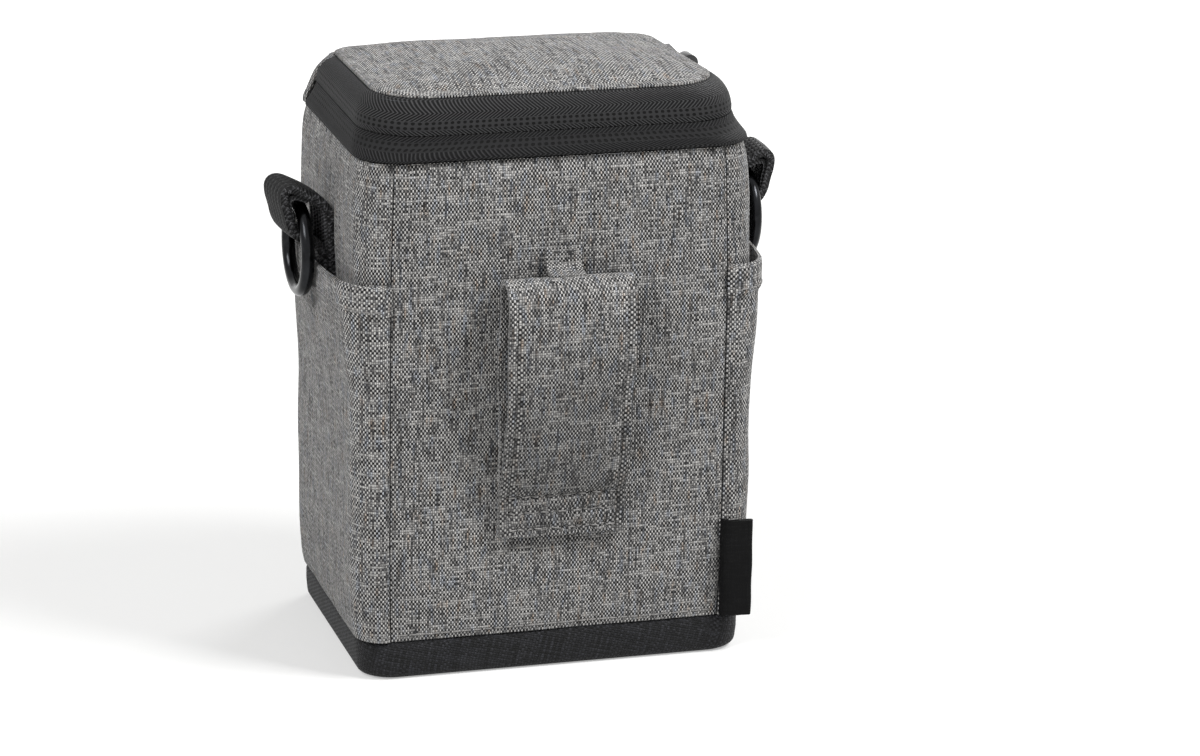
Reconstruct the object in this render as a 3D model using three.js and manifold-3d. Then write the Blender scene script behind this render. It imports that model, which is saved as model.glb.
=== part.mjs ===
// Camera belt pouch: a padded fabric box with a zipped lid, a belt loop, slip pockets and strap rings.
// Millimetres. +Z is up, the belt side faces -Y, and the origin is the middle of the base, on the ground.
import * as THREE from "three";
import { mergeVertices } from "three/addons/utils/BufferGeometryUtils.js";
import Module from "manifold-3d";

const wasm = await Module();
wasm.setup();

// Outline of the padded body, seen from above
const bodyWidth = 118.6;
const bodyDepth = 87.4;
const backCornerRadius = 8.8;
const frontCornerRadius = 8.6;
const frontTaper = 1.6; // each side runs in by this much towards the front
const footTaper = 1.2; // the walls draw in by this much at the foot
const footTaperHeight = 40;

// Layers of the padded wall, from the outside in
const fabricThickness = 1;
const foamThickness = 4.7;
const liningThickness = 0.7;
const layerGap = 0.3; // clearance between layers and at every seam

// Base: black wrap, stiffener and foam
const baseBandHeight = 11.5;
const baseEdgeRounding = 3;
const boardThickness = 1.5;
const boardInset = 3.4;
const baseFoamThickness = 4.7;

// Heights of the seams, at the back, and how much each rises towards the front
const panelTop = 154.3;
const panelTopRise = 1.2;
const lowerTapeHeight = 7.2; // from the panel seam to the zip line
const upperTapeHeight = 9.9; // from the zip line to the lid seam
const zipRise = 2.2;
const zipHeight = panelTop + lowerTapeHeight;
const lidSeamHeight = zipHeight + upperTapeHeight;

// Zip band: two tapes that lean in, with the coil on their inner face
const tapeThickness = 1;
const zipInset = 3.2;
const zipFlatReach = 5.2; // how far the tape stays flat on each side of the zip line
const zipLean = THREE.MathUtils.degToRad(8);
const lidSeamInset = 7.85;
const lidCornerShrink = 1;
const zipCornerGrowth = 9; // the zip turns the rear corners in a wider curve than the panels do
const coilPitch = 2.4;
const coilThickness = 1.7;
const coilReach = 3.4;
const coilLoopDepth = 1;
const zipSlit = 1; // running gap for the slider's neck
const zipEndMargin = 1; // from the end of the straight side to the end of the zip

// Lid: crowned panel over foam and lining
const lidCrown = 4.6;
const lidCrownPower = 2.4;
const lidFoamThickness = 4.5;
const lidFoamInset = 2.4;

// Slip pockets on both sides
const pocketDrop = 34.8; // from the panel seam down to the mouth
const pocketTop = panelTop - pocketDrop;
const pocketThickness = 0.8;
const pocketSlack = 5.6; // how far the top edge stands off in the middle
const pocketSlackDepth = 50;
const pocketHemHeight = 9;
const pocketHemExtra = 0.4;

// Belt loop: one folded strap, sewn down at its foot
const strapWidth = 37.6;
const strapThickness = 1.3;
const strapFoot = 42;
const strapSewnTop = 55;
const strapFoldTop = 120.5;
const strapStandOff = 12; // of the front layer's outer face at the fold
const strapFootBulge = 6.5; // how far the front layer bows out just above the sewn foot
const tabWidth = 10.6;
const tabThickness = 0.9;
const tabTop = 128.5;
const tabSewnHeight = 3;
const tabCurl = 1; // the tab's highest point over the fold
const strapTopPull = 0.25; // shares of the drop where the front layer's line is pulled straight
const strapFootPull = 0.8;

// Bare woven label in the right rear seam
const labelHeight = 30;
const labelFoot = 12.3;
const labelReach = 8.4;
const labelThickness = 2;

// Strap rings in their webbing loops
const ringWire = 4;
const ringInside = 21;
const ringStandOff = 9.5; // from the side face to the middle of the wire
const ringPlaceY = -3;
const leftPivotDrop = 22.6; // from the panel seam down to the ring's pivot
const rightPivotDrop = 19.6;
const leftPivotHeight = panelTop - leftPivotDrop;
const rightPivotHeight = panelTop - rightPivotDrop;
const webbingWidth = 20;
const webbingGathered = 18; // the width where it passes through the ring
const webbingThickness = 1.6;
const webbingTail = 17; // length of tail under the loop
const loopExtraHeight = 5; // the loop's tunnel is taller than it is wide by this much
const tunnelClearance = 0.4;

// Slider, bail and puller
const sliderFromFront = 16.2; // from the front face to the middle of the closed slider
const sliderPlaceY = bodyDepth / 2 - sliderFromFront;
const sliderLength = 14;
const sliderNose = 7.4; // height of the plates at the narrow end
const sliderHeight = 10;
const sliderPlate = 1.2;
const sliderCorner = 2;
const sliderClearance = 0.9;
const neckThickness = 0.4;
const neckLength = 3;
const bailLength = 9;
const bailBar = 1.6;
const bailRise = 2.6; // clear height under the bail's bar
const pullerLength = 17;
const pullerWidth = 7.5;
const pullerThickness = 1.5;
const pullerHoleWidth = 3;
const pullerHoleHeight = 3.8;
const pullerHoleEdge = 2; // metal left under the hole

// Steps of the curves
const cornerSteps = 6;
const sideSteps = 6;
const arcSteps = 14;
const tabSteps = 8;
const pocketSteps = 4;
const plateSteps = 4;
const barSides = 12;
const eyeSteps = 16;
const ringSides = 10;
const ringSteps = 28;

const heather = { color: 0x7f7c7b, roughness: 0.95, metalness: 0 };
const blackFabric = { color: 0x2b2b2d, roughness: 0.9, metalness: 0 };
const charcoalTape = { color: 0x3a3a3b, roughness: 0.85, metalness: 0 };
const liningFabric = { color: 0x4a4c50, roughness: 0.9, metalness: 0 };
const foam = { color: 0x55565a, roughness: 1, metalness: 0 };
const board = { color: 0x1f1f20, roughness: 0.7, metalness: 0 };
const coilPlastic = { color: 0x2a2a2b, roughness: 0.5, metalness: 0 };
const gunmetal = { color: 0x2c2d2f, roughness: 0.25, metalness: 1 };
const sliderBlack = { color: 0x191919, roughness: 0.3, metalness: 1 };

const bodyGroup = new THREE.Group();
const lidGroup = new THREE.Group();
const hardwareGroup = new THREE.Group();

function addPiece(name, geometry, finish, group = bodyGroup) {
  geometry.computeVertexNormals();
  const mesh = new THREE.Mesh(geometry, new THREE.MeshStandardMaterial(finish));
  mesh.name = name;
  group.add(mesh);
  return mesh;
}

// Geometry from shared points and triangles, turned so that its faces point out
function closedGeometry(points, faces) {
  let volume = 0;
  const [a, b, c] = [new THREE.Vector3(), new THREE.Vector3(), new THREE.Vector3()];
  for (let i = 0; i < faces.length; i += 3) {
    a.fromArray(points, 3 * faces[i]);
    b.fromArray(points, 3 * faces[i + 1]);
    c.fromArray(points, 3 * faces[i + 2]);
    volume += a.dot(b.cross(c));
  }
  const ordered = volume < 0 ? faces.toReversed() : faces;
  const geometry = new THREE.BufferGeometry();
  geometry.setAttribute("position", new THREE.Float32BufferAttribute(points, 3));
  geometry.setIndex(ordered);
  return geometry;
}

// A thin solid between two grids: each surface is a function of a column and a row
function skinGeometry(columns, rows, outerPoint, innerPoint) {
  const points = [];
  for (const surface of [outerPoint, innerPoint]) {
    for (const row of rows) {
      for (const column of columns) points.push(...surface(column, row));
    }
  }
  const wide = columns.length;
  const layer = wide * rows.length;
  const at = (side, row, column) => side * layer + row * wide + column;
  const faces = [];
  const quad = (p, q, r, s) => faces.push(p, q, r, p, r, s);
  const lastRow = rows.length - 1;
  const lastColumn = wide - 1;
  for (let row = 0; row < lastRow; row += 1) {
    for (let column = 0; column < lastColumn; column += 1) {
      quad(at(0, row, column), at(0, row, column + 1), at(0, row + 1, column + 1), at(0, row + 1, column));
      quad(at(1, row, column), at(1, row + 1, column), at(1, row + 1, column + 1), at(1, row, column + 1));
    }
    quad(at(0, row, 0), at(0, row + 1, 0), at(1, row + 1, 0), at(1, row, 0));
    const end = lastColumn;
    quad(at(0, row, end), at(1, row, end), at(1, row + 1, end), at(0, row + 1, end));
  }
  for (let column = 0; column < lastColumn; column += 1) {
    const next = column + 1;
    quad(at(0, 0, column), at(1, 0, column), at(1, 0, next), at(0, 0, next));
    quad(at(0, lastRow, column), at(0, lastRow, next), at(1, lastRow, next), at(1, lastRow, column));
  }
  return closedGeometry(points, faces);
}

// A bowl or dome: rings of points from the rim to a middle point, on both faces
function bowlGeometry(columns, outerRings, innerRings, outerMiddle, innerMiddle) {
  const points = [];
  for (const ring of [...outerRings, ...innerRings]) {
    for (const column of columns) points.push(...ring(column));
  }
  const wide = columns.length;
  const faces = [];
  const next = (column) => (column + 1) % wide;
  const middles = [points.length / 3, points.length / 3 + 1];
  points.push(...outerMiddle, ...innerMiddle);
  const band = (low, high, flip) => {
    for (let column = 0; column < wide; column += 1) {
      const [p, q] = [low * wide + column, low * wide + next(column)];
      const [r, s] = [high * wide + next(column), high * wide + column];
      if (flip) faces.push(p, r, q, p, s, r);
      else faces.push(p, q, r, p, r, s);
    }
  };
  const outerCount = outerRings.length;
  const total = outerCount + innerRings.length;
  for (let ring = 0; ring < outerCount - 1; ring += 1) band(ring, ring + 1, false);
  for (let ring = outerCount; ring < total - 1; ring += 1) band(ring, ring + 1, true);
  band(0, outerCount, true);
  for (let column = 0; column < wide; column += 1) {
    const outerRow = (outerCount - 1) * wide;
    const innerRow = (total - 1) * wide;
    faces.push(outerRow + column, outerRow + next(column), middles[0]);
    faces.push(innerRow + next(column), innerRow + column, middles[1]);
  }
  return closedGeometry(points, faces);
}

// A strip with the same section all along: point(station, corner) gives each corner
function stripGeometry(stations, corners, point) {
  const points = [];
  for (let station = 0; station < stations; station += 1) {
    for (let corner = 0; corner < corners; corner += 1) points.push(...point(station, corner));
  }
  const faces = [];
  for (let station = 0; station < stations - 1; station += 1) {
    for (let corner = 0; corner < corners; corner += 1) {
      const other = (corner + 1) % corners;
      const [p, q] = [station * corners + corner, station * corners + other];
      faces.push(p, q, q + corners, p, q + corners, p + corners);
    }
  }
  const last = (stations - 1) * corners;
  for (let corner = 1; corner < corners - 1; corner += 1) {
    faces.push(0, corner + 1, corner);
    faces.push(last, last + corner, last + corner + 1);
  }
  return closedGeometry(points, faces);
}

const samePoint = 1e-3;
const weldDistance = 1e-4;

// A prism of a shape with arcs: points that arcs and lines share are taken once
function prismGeometry(shape, depth, curveSegments = 8) {
  const cleaned = (path, clockwise) => {
    const all = path.getPoints(curveSegments);
    const points = all.filter((point, i) => point.distanceTo(all[(i + 1) % all.length]) > samePoint);
    return THREE.ShapeUtils.isClockWise(points) === clockwise ? points : points.reverse();
  };
  const outline = new THREE.Shape(cleaned(shape, false));
  outline.holes = shape.holes.map((hole) => new THREE.Path(cleaned(hole, true)));
  return new THREE.ExtrudeGeometry(outline, { depth, bevelEnabled: false });
}

function solidOf(geometry) {
  const bare = geometry.clone();
  for (const name of Object.keys(bare.attributes)) {
    if (name !== "position") bare.deleteAttribute(name);
  }
  const merged = mergeVertices(bare, weldDistance);
  const vertProperties = new Float32Array(merged.attributes.position.array);
  const triVerts = new Uint32Array(merged.index.array);
  return new wasm.Manifold(new wasm.Mesh({ numProp: 3, vertProperties, triVerts }));
}

function geometryOf(solid) {
  const mesh = solid.getMesh();
  const geometry = new THREE.BufferGeometry();
  geometry.setAttribute("position", new THREE.BufferAttribute(mesh.vertProperties, 3));
  geometry.setIndex(new THREE.BufferAttribute(mesh.triVerts, 1));
  return geometry;
}

function joined(...geometries) {
  return geometryOf(geometries.map(solidOf).reduce((whole, next) => whole.add(next)));
}

// Place round the body: 0 is the middle of the back, 1 to 2 the rear corner, 2 to 3 the side,
// 3 to 4 the front corner and 5 the middle of the front. Negative places are on the left.
function outlinePoint(place, inset = 0, offset = 0, shrink = 0, growth = 0) {
  const side = Math.abs(place);
  const halfWidth = bodyWidth / 2 - inset;
  const halfDepth = bodyDepth / 2 - inset;
  const backRadius = backCornerRadius - shrink + growth;
  const frontRadius = frontCornerRadius - shrink;
  const frontHalf = halfWidth - frontTaper;
  // a wider corner starts further along the tapered side, which stays where it is
  const rearHalf = halfWidth - (frontTaper * growth) / sideLength;
  let point;
  let angle;
  if (side <= 1) {
    angle = -Math.PI / 2;
    point = [side * (rearHalf - backRadius), -halfDepth];
  } else if (side <= 2) {
    angle = ((side - 2) * Math.PI) / 2;
    point = [rearHalf - backRadius, backRadius - halfDepth];
    point = [point[0] + backRadius * Math.cos(angle), point[1] + backRadius * Math.sin(angle)];
  } else if (side <= 3) {
    angle = 0;
    const along = side - 2;
    point = [
      THREE.MathUtils.lerp(rearHalf, frontHalf, along),
      THREE.MathUtils.lerp(backRadius - halfDepth, halfDepth - frontRadius, along),
    ];
  } else if (side <= 4) {
    angle = ((side - 3) * Math.PI) / 2;
    point = [frontHalf - frontRadius, halfDepth - frontRadius];
    point = [point[0] + frontRadius * Math.cos(angle), point[1] + frontRadius * Math.sin(angle)];
  } else {
    angle = Math.PI / 2;
    point = [(5 - side) * (frontHalf - frontRadius), halfDepth];
  }
  const x = point[0] + offset * Math.cos(angle);
  const y = point[1] + offset * Math.sin(angle);
  return [place < 0 ? -x : x, y];
}

// Lengths round the outline, and the places that they give
const halfBack = bodyWidth / 2 - backCornerRadius;
const rearArc = (Math.PI / 2) * backCornerRadius;
const frontArc = (Math.PI / 2) * frontCornerRadius;
const sideLength = bodyDepth - backCornerRadius - frontCornerRadius;
const halfFront = bodyWidth / 2 - frontTaper - frontCornerRadius;
const halfSeam = layerGap / 2;

function steps(from, to, count) {
  return Array.from({ length: count + 1 }, (_, i) => THREE.MathUtils.lerp(from, to, i / count));
}

const seamOn = {
  backOfSide: 1 + halfSeam / rearArc,
  sideOfBack: 1 - halfSeam / halfBack,
  frontOfSide: 4 - halfSeam / frontArc,
  sideOfFront: 4 + halfSeam / halfFront,
};
const sidePlaces = [
  ...steps(seamOn.backOfSide, 2, cornerSteps),
  ...steps(2, 3, sideSteps).slice(1),
  ...steps(3, seamOn.frontOfSide, cornerSteps).slice(1),
];
const backPlaces = steps(-seamOn.sideOfBack, seamOn.sideOfBack, 2);
const frontPlaces = [seamOn.sideOfFront, 5, -seamOn.sideOfFront];
const roundPlaces = [
  0,
  ...steps(1, 2, cornerSteps),
  ...steps(3, 4, cornerSteps),
  5,
  ...steps(-4, -3, cornerSteps),
  ...steps(-2, -1, cornerSteps),
];

// Heights that rise towards the front
const forward = (y) => (y + bodyDepth / 2) / bodyDepth;
const panelTopAt = (y) => panelTop + panelTopRise * forward(y);
const zipHeightAt = (y) => zipHeight + zipRise * forward(y);

function wallInset(height) {
  const rise = THREE.MathUtils.clamp(height / footTaperHeight, 0, 1);
  return footTaper * (1 - rise) ** 2;
}

const foamOuter = -fabricThickness - layerGap;
const foamInner = foamOuter - foamThickness;
const liningOuter = foamInner - layerGap;
const liningInner = liningOuter - liningThickness;
const boardFloor = fabricThickness + layerGap;
const baseFoamFloor = boardFloor + boardThickness + layerGap;
const wallFoamFloor = baseFoamFloor + baseFoamThickness + layerGap;
const foamTopDrop = halfSeam + layerGap;

// A point on a wall layer, which draws in a little at the foot
function wallPoint(place, height, offset) {
  const [x, y] = outlinePoint(place, wallInset(height), offset);
  return [x, y, height];
}

// One wall layer from its floor to a height under the panel seam
function wallLayer(places, floor, topDrop, outerOffset, innerOffset) {
  const rows = [floor, (floor + footTaperHeight) / 2, footTaperHeight, panelTop];
  const heightOf = (place, row) => {
    if (row < panelTop) return row;
    return panelTopAt(outlinePoint(place)[1]) - topDrop;
  };
  const surface = (offset) => (place, row) => wallPoint(place, heightOf(place, row), offset);
  return skinGeometry(places, rows, surface(outerOffset), surface(innerOffset));
}

const panelFloor = baseBandHeight + layerGap;
const mirrored = (places) => places.map((place) => -place);

function buildWalls() {
  const walls = [
    ["back", backPlaces],
    ["front", frontPlaces],
    ["right_side", sidePlaces],
    ["left_side", mirrored(sidePlaces)],
  ];
  for (const [name, places] of walls) {
    const panel = wallLayer(places, panelFloor, halfSeam, 0, -fabricThickness);
    addPiece(`${name}_panel`, panel, heather);
    const padding = wallLayer(places, wallFoamFloor, foamTopDrop, foamOuter, foamInner);
    addPiece(`${name}_foam`, padding, foam);
  }
}

// A ring of points at a height and an offset from the wall
const wallRing = (height, offset) => (place) => wallPoint(place, height, offset);
const topRing = (drop, offset) => (place) => {
  return wallPoint(place, panelTopAt(outlinePoint(place)[1]) - drop, offset);
};

function buildBase() {
  const rounding = steps(0, Math.PI / 2, 3).map((angle) => ({
    inset: baseEdgeRounding * (1 - Math.cos(angle)),
    height: baseEdgeRounding * (1 - Math.sin(angle)),
  }));
  const outerRings = [wallRing(baseBandHeight, 0)];
  const innerRings = [wallRing(baseBandHeight, -fabricThickness)];
  const innerShrink = (baseEdgeRounding - fabricThickness) / baseEdgeRounding;
  for (const { inset, height } of rounding) {
    outerRings.push(wallRing(height, -inset));
    innerRings.push(wallRing(fabricThickness + height * innerShrink, -fabricThickness - inset * innerShrink));
  }
  const cover = bowlGeometry(roundPlaces, outerRings, innerRings, [0, 0, 0], [0, 0, fabricThickness]);
  addPiece("base_cover", cover, blackFabric);

  const plate = (offset, floor, thickness) => {
    const low = wallRing(floor, offset);
    const high = wallRing(floor + thickness, offset);
    return bowlGeometry(roundPlaces, [low], [high], [0, 0, floor], [0, 0, floor + thickness]);
  };
  addPiece("base_board", plate(-boardInset, boardFloor, boardThickness), board);
  addPiece("base_foam", plate(foamOuter - layerGap, baseFoamFloor, baseFoamThickness), foam);
}

// The lining turns over the foam's top edge to the seam and closes over the base foam
function buildLining() {
  const lipReach = foamOuter - layerGap;
  const outerRings = [
    topRing(halfSeam, lipReach),
    topRing(halfSeam, liningOuter),
    wallRing(footTaperHeight, liningOuter),
    wallRing(wallFoamFloor, liningOuter),
  ];
  const innerRings = [
    topRing(halfSeam - liningThickness, lipReach),
    topRing(halfSeam - liningThickness, liningInner),
    wallRing(footTaperHeight, liningInner),
    wallRing(wallFoamFloor + liningThickness, liningInner),
  ];
  const underside = [0, 0, wallFoamFloor];
  const floor = [0, 0, wallFoamFloor + liningThickness];
  const lining = bowlGeometry(roundPlaces, outerRings, innerRings, underside, floor);
  addPiece("compartment_lining", lining, liningFabric);
}

// Share of the way from the rear seam to the front seam, by length
function alongSide(place) {
  const side = Math.abs(place);
  const total = rearArc + sideLength + frontArc;
  if (side < 2) return ((side - 1) * rearArc) / total;
  if (side < 3) return (rearArc + (side - 2) * sideLength) / total;
  return (rearArc + sideLength + (side - 3) * frontArc) / total;
}

function pocketGap(place, height) {
  const rise = THREE.MathUtils.smoothstep(height, pocketTop - pocketSlackDepth, pocketTop);
  return layerGap + pocketSlack * Math.sin(Math.PI * alongSide(place)) * rise;
}

function buildPockets() {
  const hemFoot = pocketTop - pocketHemHeight;
  const hemRow = hemFoot + pocketHemExtra;
  const slackRows = steps(pocketTop - pocketSlackDepth, hemFoot, pocketSteps);
  const rows = [panelFloor, footTaperHeight, ...slackRows, hemRow, (hemRow + pocketTop) / 2, pocketTop];
  const inner = (place, height) => wallPoint(place, height, pocketGap(place, height));
  const outer = (place, height) => {
    const extra = height < hemRow ? 0 : pocketHemExtra;
    return wallPoint(place, height, pocketGap(place, height) + pocketThickness + extra);
  };
  addPiece("right_slip_pocket", skinGeometry(sidePlaces, rows, outer, inner), heather);
  addPiece("left_slip_pocket", skinGeometry(mirrored(sidePlaces), rows, outer, inner), heather);
}

// Section of the zip band at a place: inset and height for a share of the way across each tape
const lowerFlatInset = zipInset - zipFlatReach * Math.tan(zipLean);
const upperFlatInset = zipInset + zipFlatReach * Math.tan(zipLean);

function zipHeightAtPlace(place) {
  return zipHeightAt(outlinePoint(place, zipInset, 0, 0, zipCornerGrowth)[1]);
}

function lowerBand(place, share) {
  const flatFoot = zipHeightAtPlace(place) - zipFlatReach;
  const seam = panelTopAt(outlinePoint(place)[1]) + halfSeam;
  if (share >= 1) {
    const across = share - 1;
    const height = THREE.MathUtils.lerp(flatFoot, zipHeightAtPlace(place) - zipSlit / 2, across);
    const inset = THREE.MathUtils.lerp(lowerFlatInset, zipInset, across);
    return { inset, height, growth: zipCornerGrowth };
  }
  const turn = (share * Math.PI) / 2;
  return {
    inset: lowerFlatInset * (1 - Math.cos(turn)),
    height: THREE.MathUtils.lerp(seam, flatFoot, Math.sin(turn)),
    growth: zipCornerGrowth * (1 - Math.cos(turn)),
  };
}

function upperBand(place, share) {
  const flatHead = zipHeightAtPlace(place) + zipFlatReach;
  const seam = lidSeamHeight - halfSeam;
  if (share <= 1) {
    const height = THREE.MathUtils.lerp(zipHeightAtPlace(place) + zipSlit / 2, flatHead, share);
    const inset = THREE.MathUtils.lerp(zipInset, upperFlatInset, share);
    return { inset, height, growth: zipCornerGrowth };
  }
  const turn = ((share - 1) * Math.PI) / 2;
  return {
    inset: THREE.MathUtils.lerp(upperFlatInset, lidSeamInset, 1 - Math.cos(turn)),
    height: THREE.MathUtils.lerp(flatHead, seam, Math.sin(turn)),
    growth: zipCornerGrowth,
    shrink: lidCornerShrink * (1 - Math.cos(turn)),
  };
}

const bandSurface = (band, offset) => (place, share) => {
  const { inset, height, growth, shrink } = band(place, share);
  return [...outlinePoint(place, inset, offset, shrink, growth), height];
};

const zipEnd = 3 - zipEndMargin / sideLength;
const gussetEnd = zipEnd + layerGap / sideLength;
const rightTapePlaces = [
  ...steps(1, 2, cornerSteps),
  ...steps(2, zipEnd, sideSteps).slice(1),
];
const tapePlaces = [...mirrored(rightTapePlaces).reverse(), 0, ...rightTapePlaces];
const rightGusset = [gussetEnd, ...steps(3, 4, cornerSteps)];
const gussetPlaces = [...rightGusset, 5, ...mirrored(rightGusset).reverse()];
const lowerShares = [0, 1 / 3, 2 / 3, 1, 1.5, 2];
const upperShares = [0, 0.5, 1, 4 / 3, 5 / 3, 2];

function buildZipBand() {
  const bands = [
    ["lower_zip_tape", "body_hinge_strip", lowerBand, lowerShares, bodyGroup],
    ["upper_zip_tape", "lid_hinge_strip", upperBand, upperShares, lidGroup],
  ];
  for (const [tapeName, gussetName, band, shares, group] of bands) {
    const outer = bandSurface(band, 0);
    const inner = bandSurface(band, -tapeThickness);
    addPiece(tapeName, skinGeometry(tapePlaces, shares, outer, inner), charcoalTape, group);
    addPiece(gussetName, skinGeometry(gussetPlaces, shares, outer, inner), heather, group);
  }
}

// Place for a distance along the zip from the middle of the back
const zipHalfBack = halfBack - zipCornerGrowth;
const zipRearArc = (Math.PI / 2) * (backCornerRadius + zipCornerGrowth);
const zipSideLength = sideLength - zipCornerGrowth;
const zipHalfLength = zipHalfBack + zipRearArc + (zipEnd - 2) * zipSideLength;

function placeAlongZip(distance) {
  const far = Math.abs(distance);
  const past = far - zipHalfBack;
  let place;
  if (past <= 0) place = far / zipHalfBack;
  else if (past <= zipRearArc) place = 1 + past / zipRearArc;
  else place = 2 + (past - zipRearArc) / zipSideLength;
  return distance < 0 ? -place : place;
}

// The coil's loops stand along the zip line on each tape's inner face: side is -1 below the line, 1 above
function coilGeometry(side) {
  const loops = Math.floor((2 * zipHalfLength) / coilPitch);
  const stations = 2 * loops + 1;
  const outerOffset = -tapeThickness - layerGap;
  return stripGeometry(stations, 4, (station, corner) => {
    const distance = (station - loops) * (coilPitch / 2);
    const place = placeAlongZip(distance);
    const tip = zipSlit / 2 + (station % 2 ? 0 : coilLoopDepth);
    const rise = corner === 1 || corner === 2 ? tip : coilReach;
    const offset = corner < 2 ? outerOffset : outerOffset - coilThickness;
    const inset = zipInset + side * rise * Math.tan(zipLean);
    return [...outlinePoint(place, inset, offset, 0, zipCornerGrowth), zipHeightAtPlace(place) + side * rise];
  });
}

// Lid pieces: rings shrink from the seam to the middle and follow the crown
const lidRingShares = [1, 0.94, 0.84, 0.7, 0.5, 0.25];
const lidLiningInset = tapeThickness + layerGap;

function crownHeight(share) {
  return lidSeamHeight + halfSeam + fabricThickness + lidCrown * (1 - share ** lidCrownPower);
}

const lidRing = (share, edgeInset, drop) => (place) => {
  const [x, y] = outlinePoint(place, lidSeamInset, -edgeInset, lidCornerShrink, zipCornerGrowth);
  return [share * x, share * y, crownHeight(share) - drop];
};

function domeGeometry(edgeInset, topDrop, thickness) {
  const outerRings = lidRingShares.map((share) => lidRing(share, edgeInset, topDrop));
  const innerRings = lidRingShares.map((share) => lidRing(share, edgeInset, topDrop + thickness));
  const top = crownHeight(0) - topDrop;
  return bowlGeometry(roundPlaces, outerRings, innerRings, [0, 0, top], [0, 0, top - thickness]);
}

function buildLid() {
  addPiece("lid_panel", domeGeometry(0, 0, fabricThickness), heather, lidGroup);
  const foamDrop = fabricThickness + layerGap;
  addPiece("lid_foam", domeGeometry(lidFoamInset, foamDrop, lidFoamThickness), foam, lidGroup);

  const liningDrop = foamDrop + lidFoamThickness + layerGap;
  const openInset = lidLiningInset;
  const foamSideInset = openInset + liningThickness;
  const under = lidRingShares.slice(1);
  const foamSide = [
    lidRing(1, foamSideInset, foamDrop),
    lidRing(1, foamSideInset, liningDrop),
    ...under.map((share) => lidRing(share, foamSideInset, liningDrop)),
  ];
  const openSide = [
    lidRing(1, openInset, foamDrop),
    lidRing(1, openInset, liningDrop + liningThickness),
    ...under.map((share) => lidRing(share, foamSideInset, liningDrop + liningThickness)),
  ];
  const low = crownHeight(0) - liningDrop;
  const lining = bowlGeometry(roundPlaces, foamSide, openSide, [0, 0, low], [0, 0, low - liningThickness]);
  addPiece("lid_lining", lining, liningFabric, lidGroup);
}

// A ribbon of even thickness along a line in the YZ plane, extruded across X
function ribbonGeometry(line, thickness, width) {
  const left = [];
  const right = [];
  line.forEach((point, i) => {
    const before = line[Math.max(i - 1, 0)];
    const after = line[Math.min(i + 1, line.length - 1)];
    const normal = new THREE.Vector2(before.y - after.y, after.x - before.x).setLength(thickness / 2);
    left.push(point.clone().add(normal));
    right.push(point.clone().sub(normal));
  });
  const shape = new THREE.Shape([...left, ...right.reverse()]);
  const geometry = prismGeometry(shape, width);
  geometry.translate(0, 0, -width / 2);
  // shape x is the distance out from the back face, shape y the height, and the depth runs across
  const basis = new THREE.Matrix4().makeBasis(
    new THREE.Vector3(0, -1, 0),
    new THREE.Vector3(0, 0, 1),
    new THREE.Vector3(-1, 0, 0),
  );
  geometry.applyMatrix4(basis);
  geometry.translate(0, -bodyDepth / 2, 0);
  return geometry;
}

// The strap runs up the back panel, folds over at the top and comes down to be sewn on at its foot
const strapInnerLine = layerGap + strapThickness / 2;
const strapSewnLine = strapInnerLine + strapThickness + layerGap;
const strapOuterLine = strapStandOff - strapThickness / 2;

function strapLine() {
  const foldRadius = (strapOuterLine - strapInnerLine) / 2;
  const foldHeight = strapFoldTop - strapThickness / 2 - foldRadius;
  const foldCentre = new THREE.Vector2(strapInnerLine + foldRadius, foldHeight);
  const points = [new THREE.Vector2(strapInnerLine, strapFoot)];
  for (const angle of steps(Math.PI, 0, arcSteps)) {
    const arm = new THREE.Vector2(foldRadius * Math.cos(angle), foldRadius * Math.sin(angle));
    points.push(arm.add(foldCentre));
  }
  const dropHeight = (share) => THREE.MathUtils.lerp(foldCentre.y, strapSewnTop, share);
  const drop = new THREE.CubicBezierCurve(
    new THREE.Vector2(strapOuterLine, foldCentre.y),
    new THREE.Vector2(strapOuterLine, dropHeight(strapTopPull)),
    new THREE.Vector2(strapSewnLine + strapFootBulge, dropHeight(strapFootPull)),
    new THREE.Vector2(strapSewnLine, strapSewnTop),
  );
  points.push(...drop.getPoints(arcSteps).slice(1));
  points.push(new THREE.Vector2(strapSewnLine, strapFoot));
  return points;
}

function tabLine() {
  const line = layerGap + tabThickness / 2;
  const restOnFold = strapFoldTop + layerGap + tabThickness / 2;
  const curve = new THREE.CubicBezierCurve(
    new THREE.Vector2(line, tabTop - tabSewnHeight),
    new THREE.Vector2(line, tabTop - 2 * tabSewnHeight),
    new THREE.Vector2(line + tabSewnHeight, restOnFold + tabCurl),
    new THREE.Vector2(strapStandOff / 2, restOnFold),
  );
  return [new THREE.Vector2(line, tabTop), ...curve.getPoints(tabSteps)];
}

function buildBeltLoop() {
  addPiece("belt_loop", ribbonGeometry(strapLine(), strapThickness, strapWidth), heather);
  addPiece("anchor_tab", ribbonGeometry(tabLine(), tabThickness, tabWidth), heather);
}

// A folded tab that stands out of the rear seam, with its round fold outwards
function buildLabel() {
  const shape = new THREE.Shape();
  const half = labelThickness / 2;
  shape.moveTo(0, -half);
  shape.lineTo(labelReach - half, -half);
  shape.absarc(labelReach - half, 0, half, -Math.PI / 2, Math.PI / 2, false);
  shape.lineTo(0, half);
  const geometry = prismGeometry(shape, labelHeight);
  // the pocket's edge is in the same seam, so the label lies over it
  const overPocket = 2 * layerGap + pocketThickness;
  geometry.translate(halfBack, -bodyDepth / 2 - overPocket - half, labelFoot);
  addPiece("label_tab", geometry, blackFabric);
}

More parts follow.
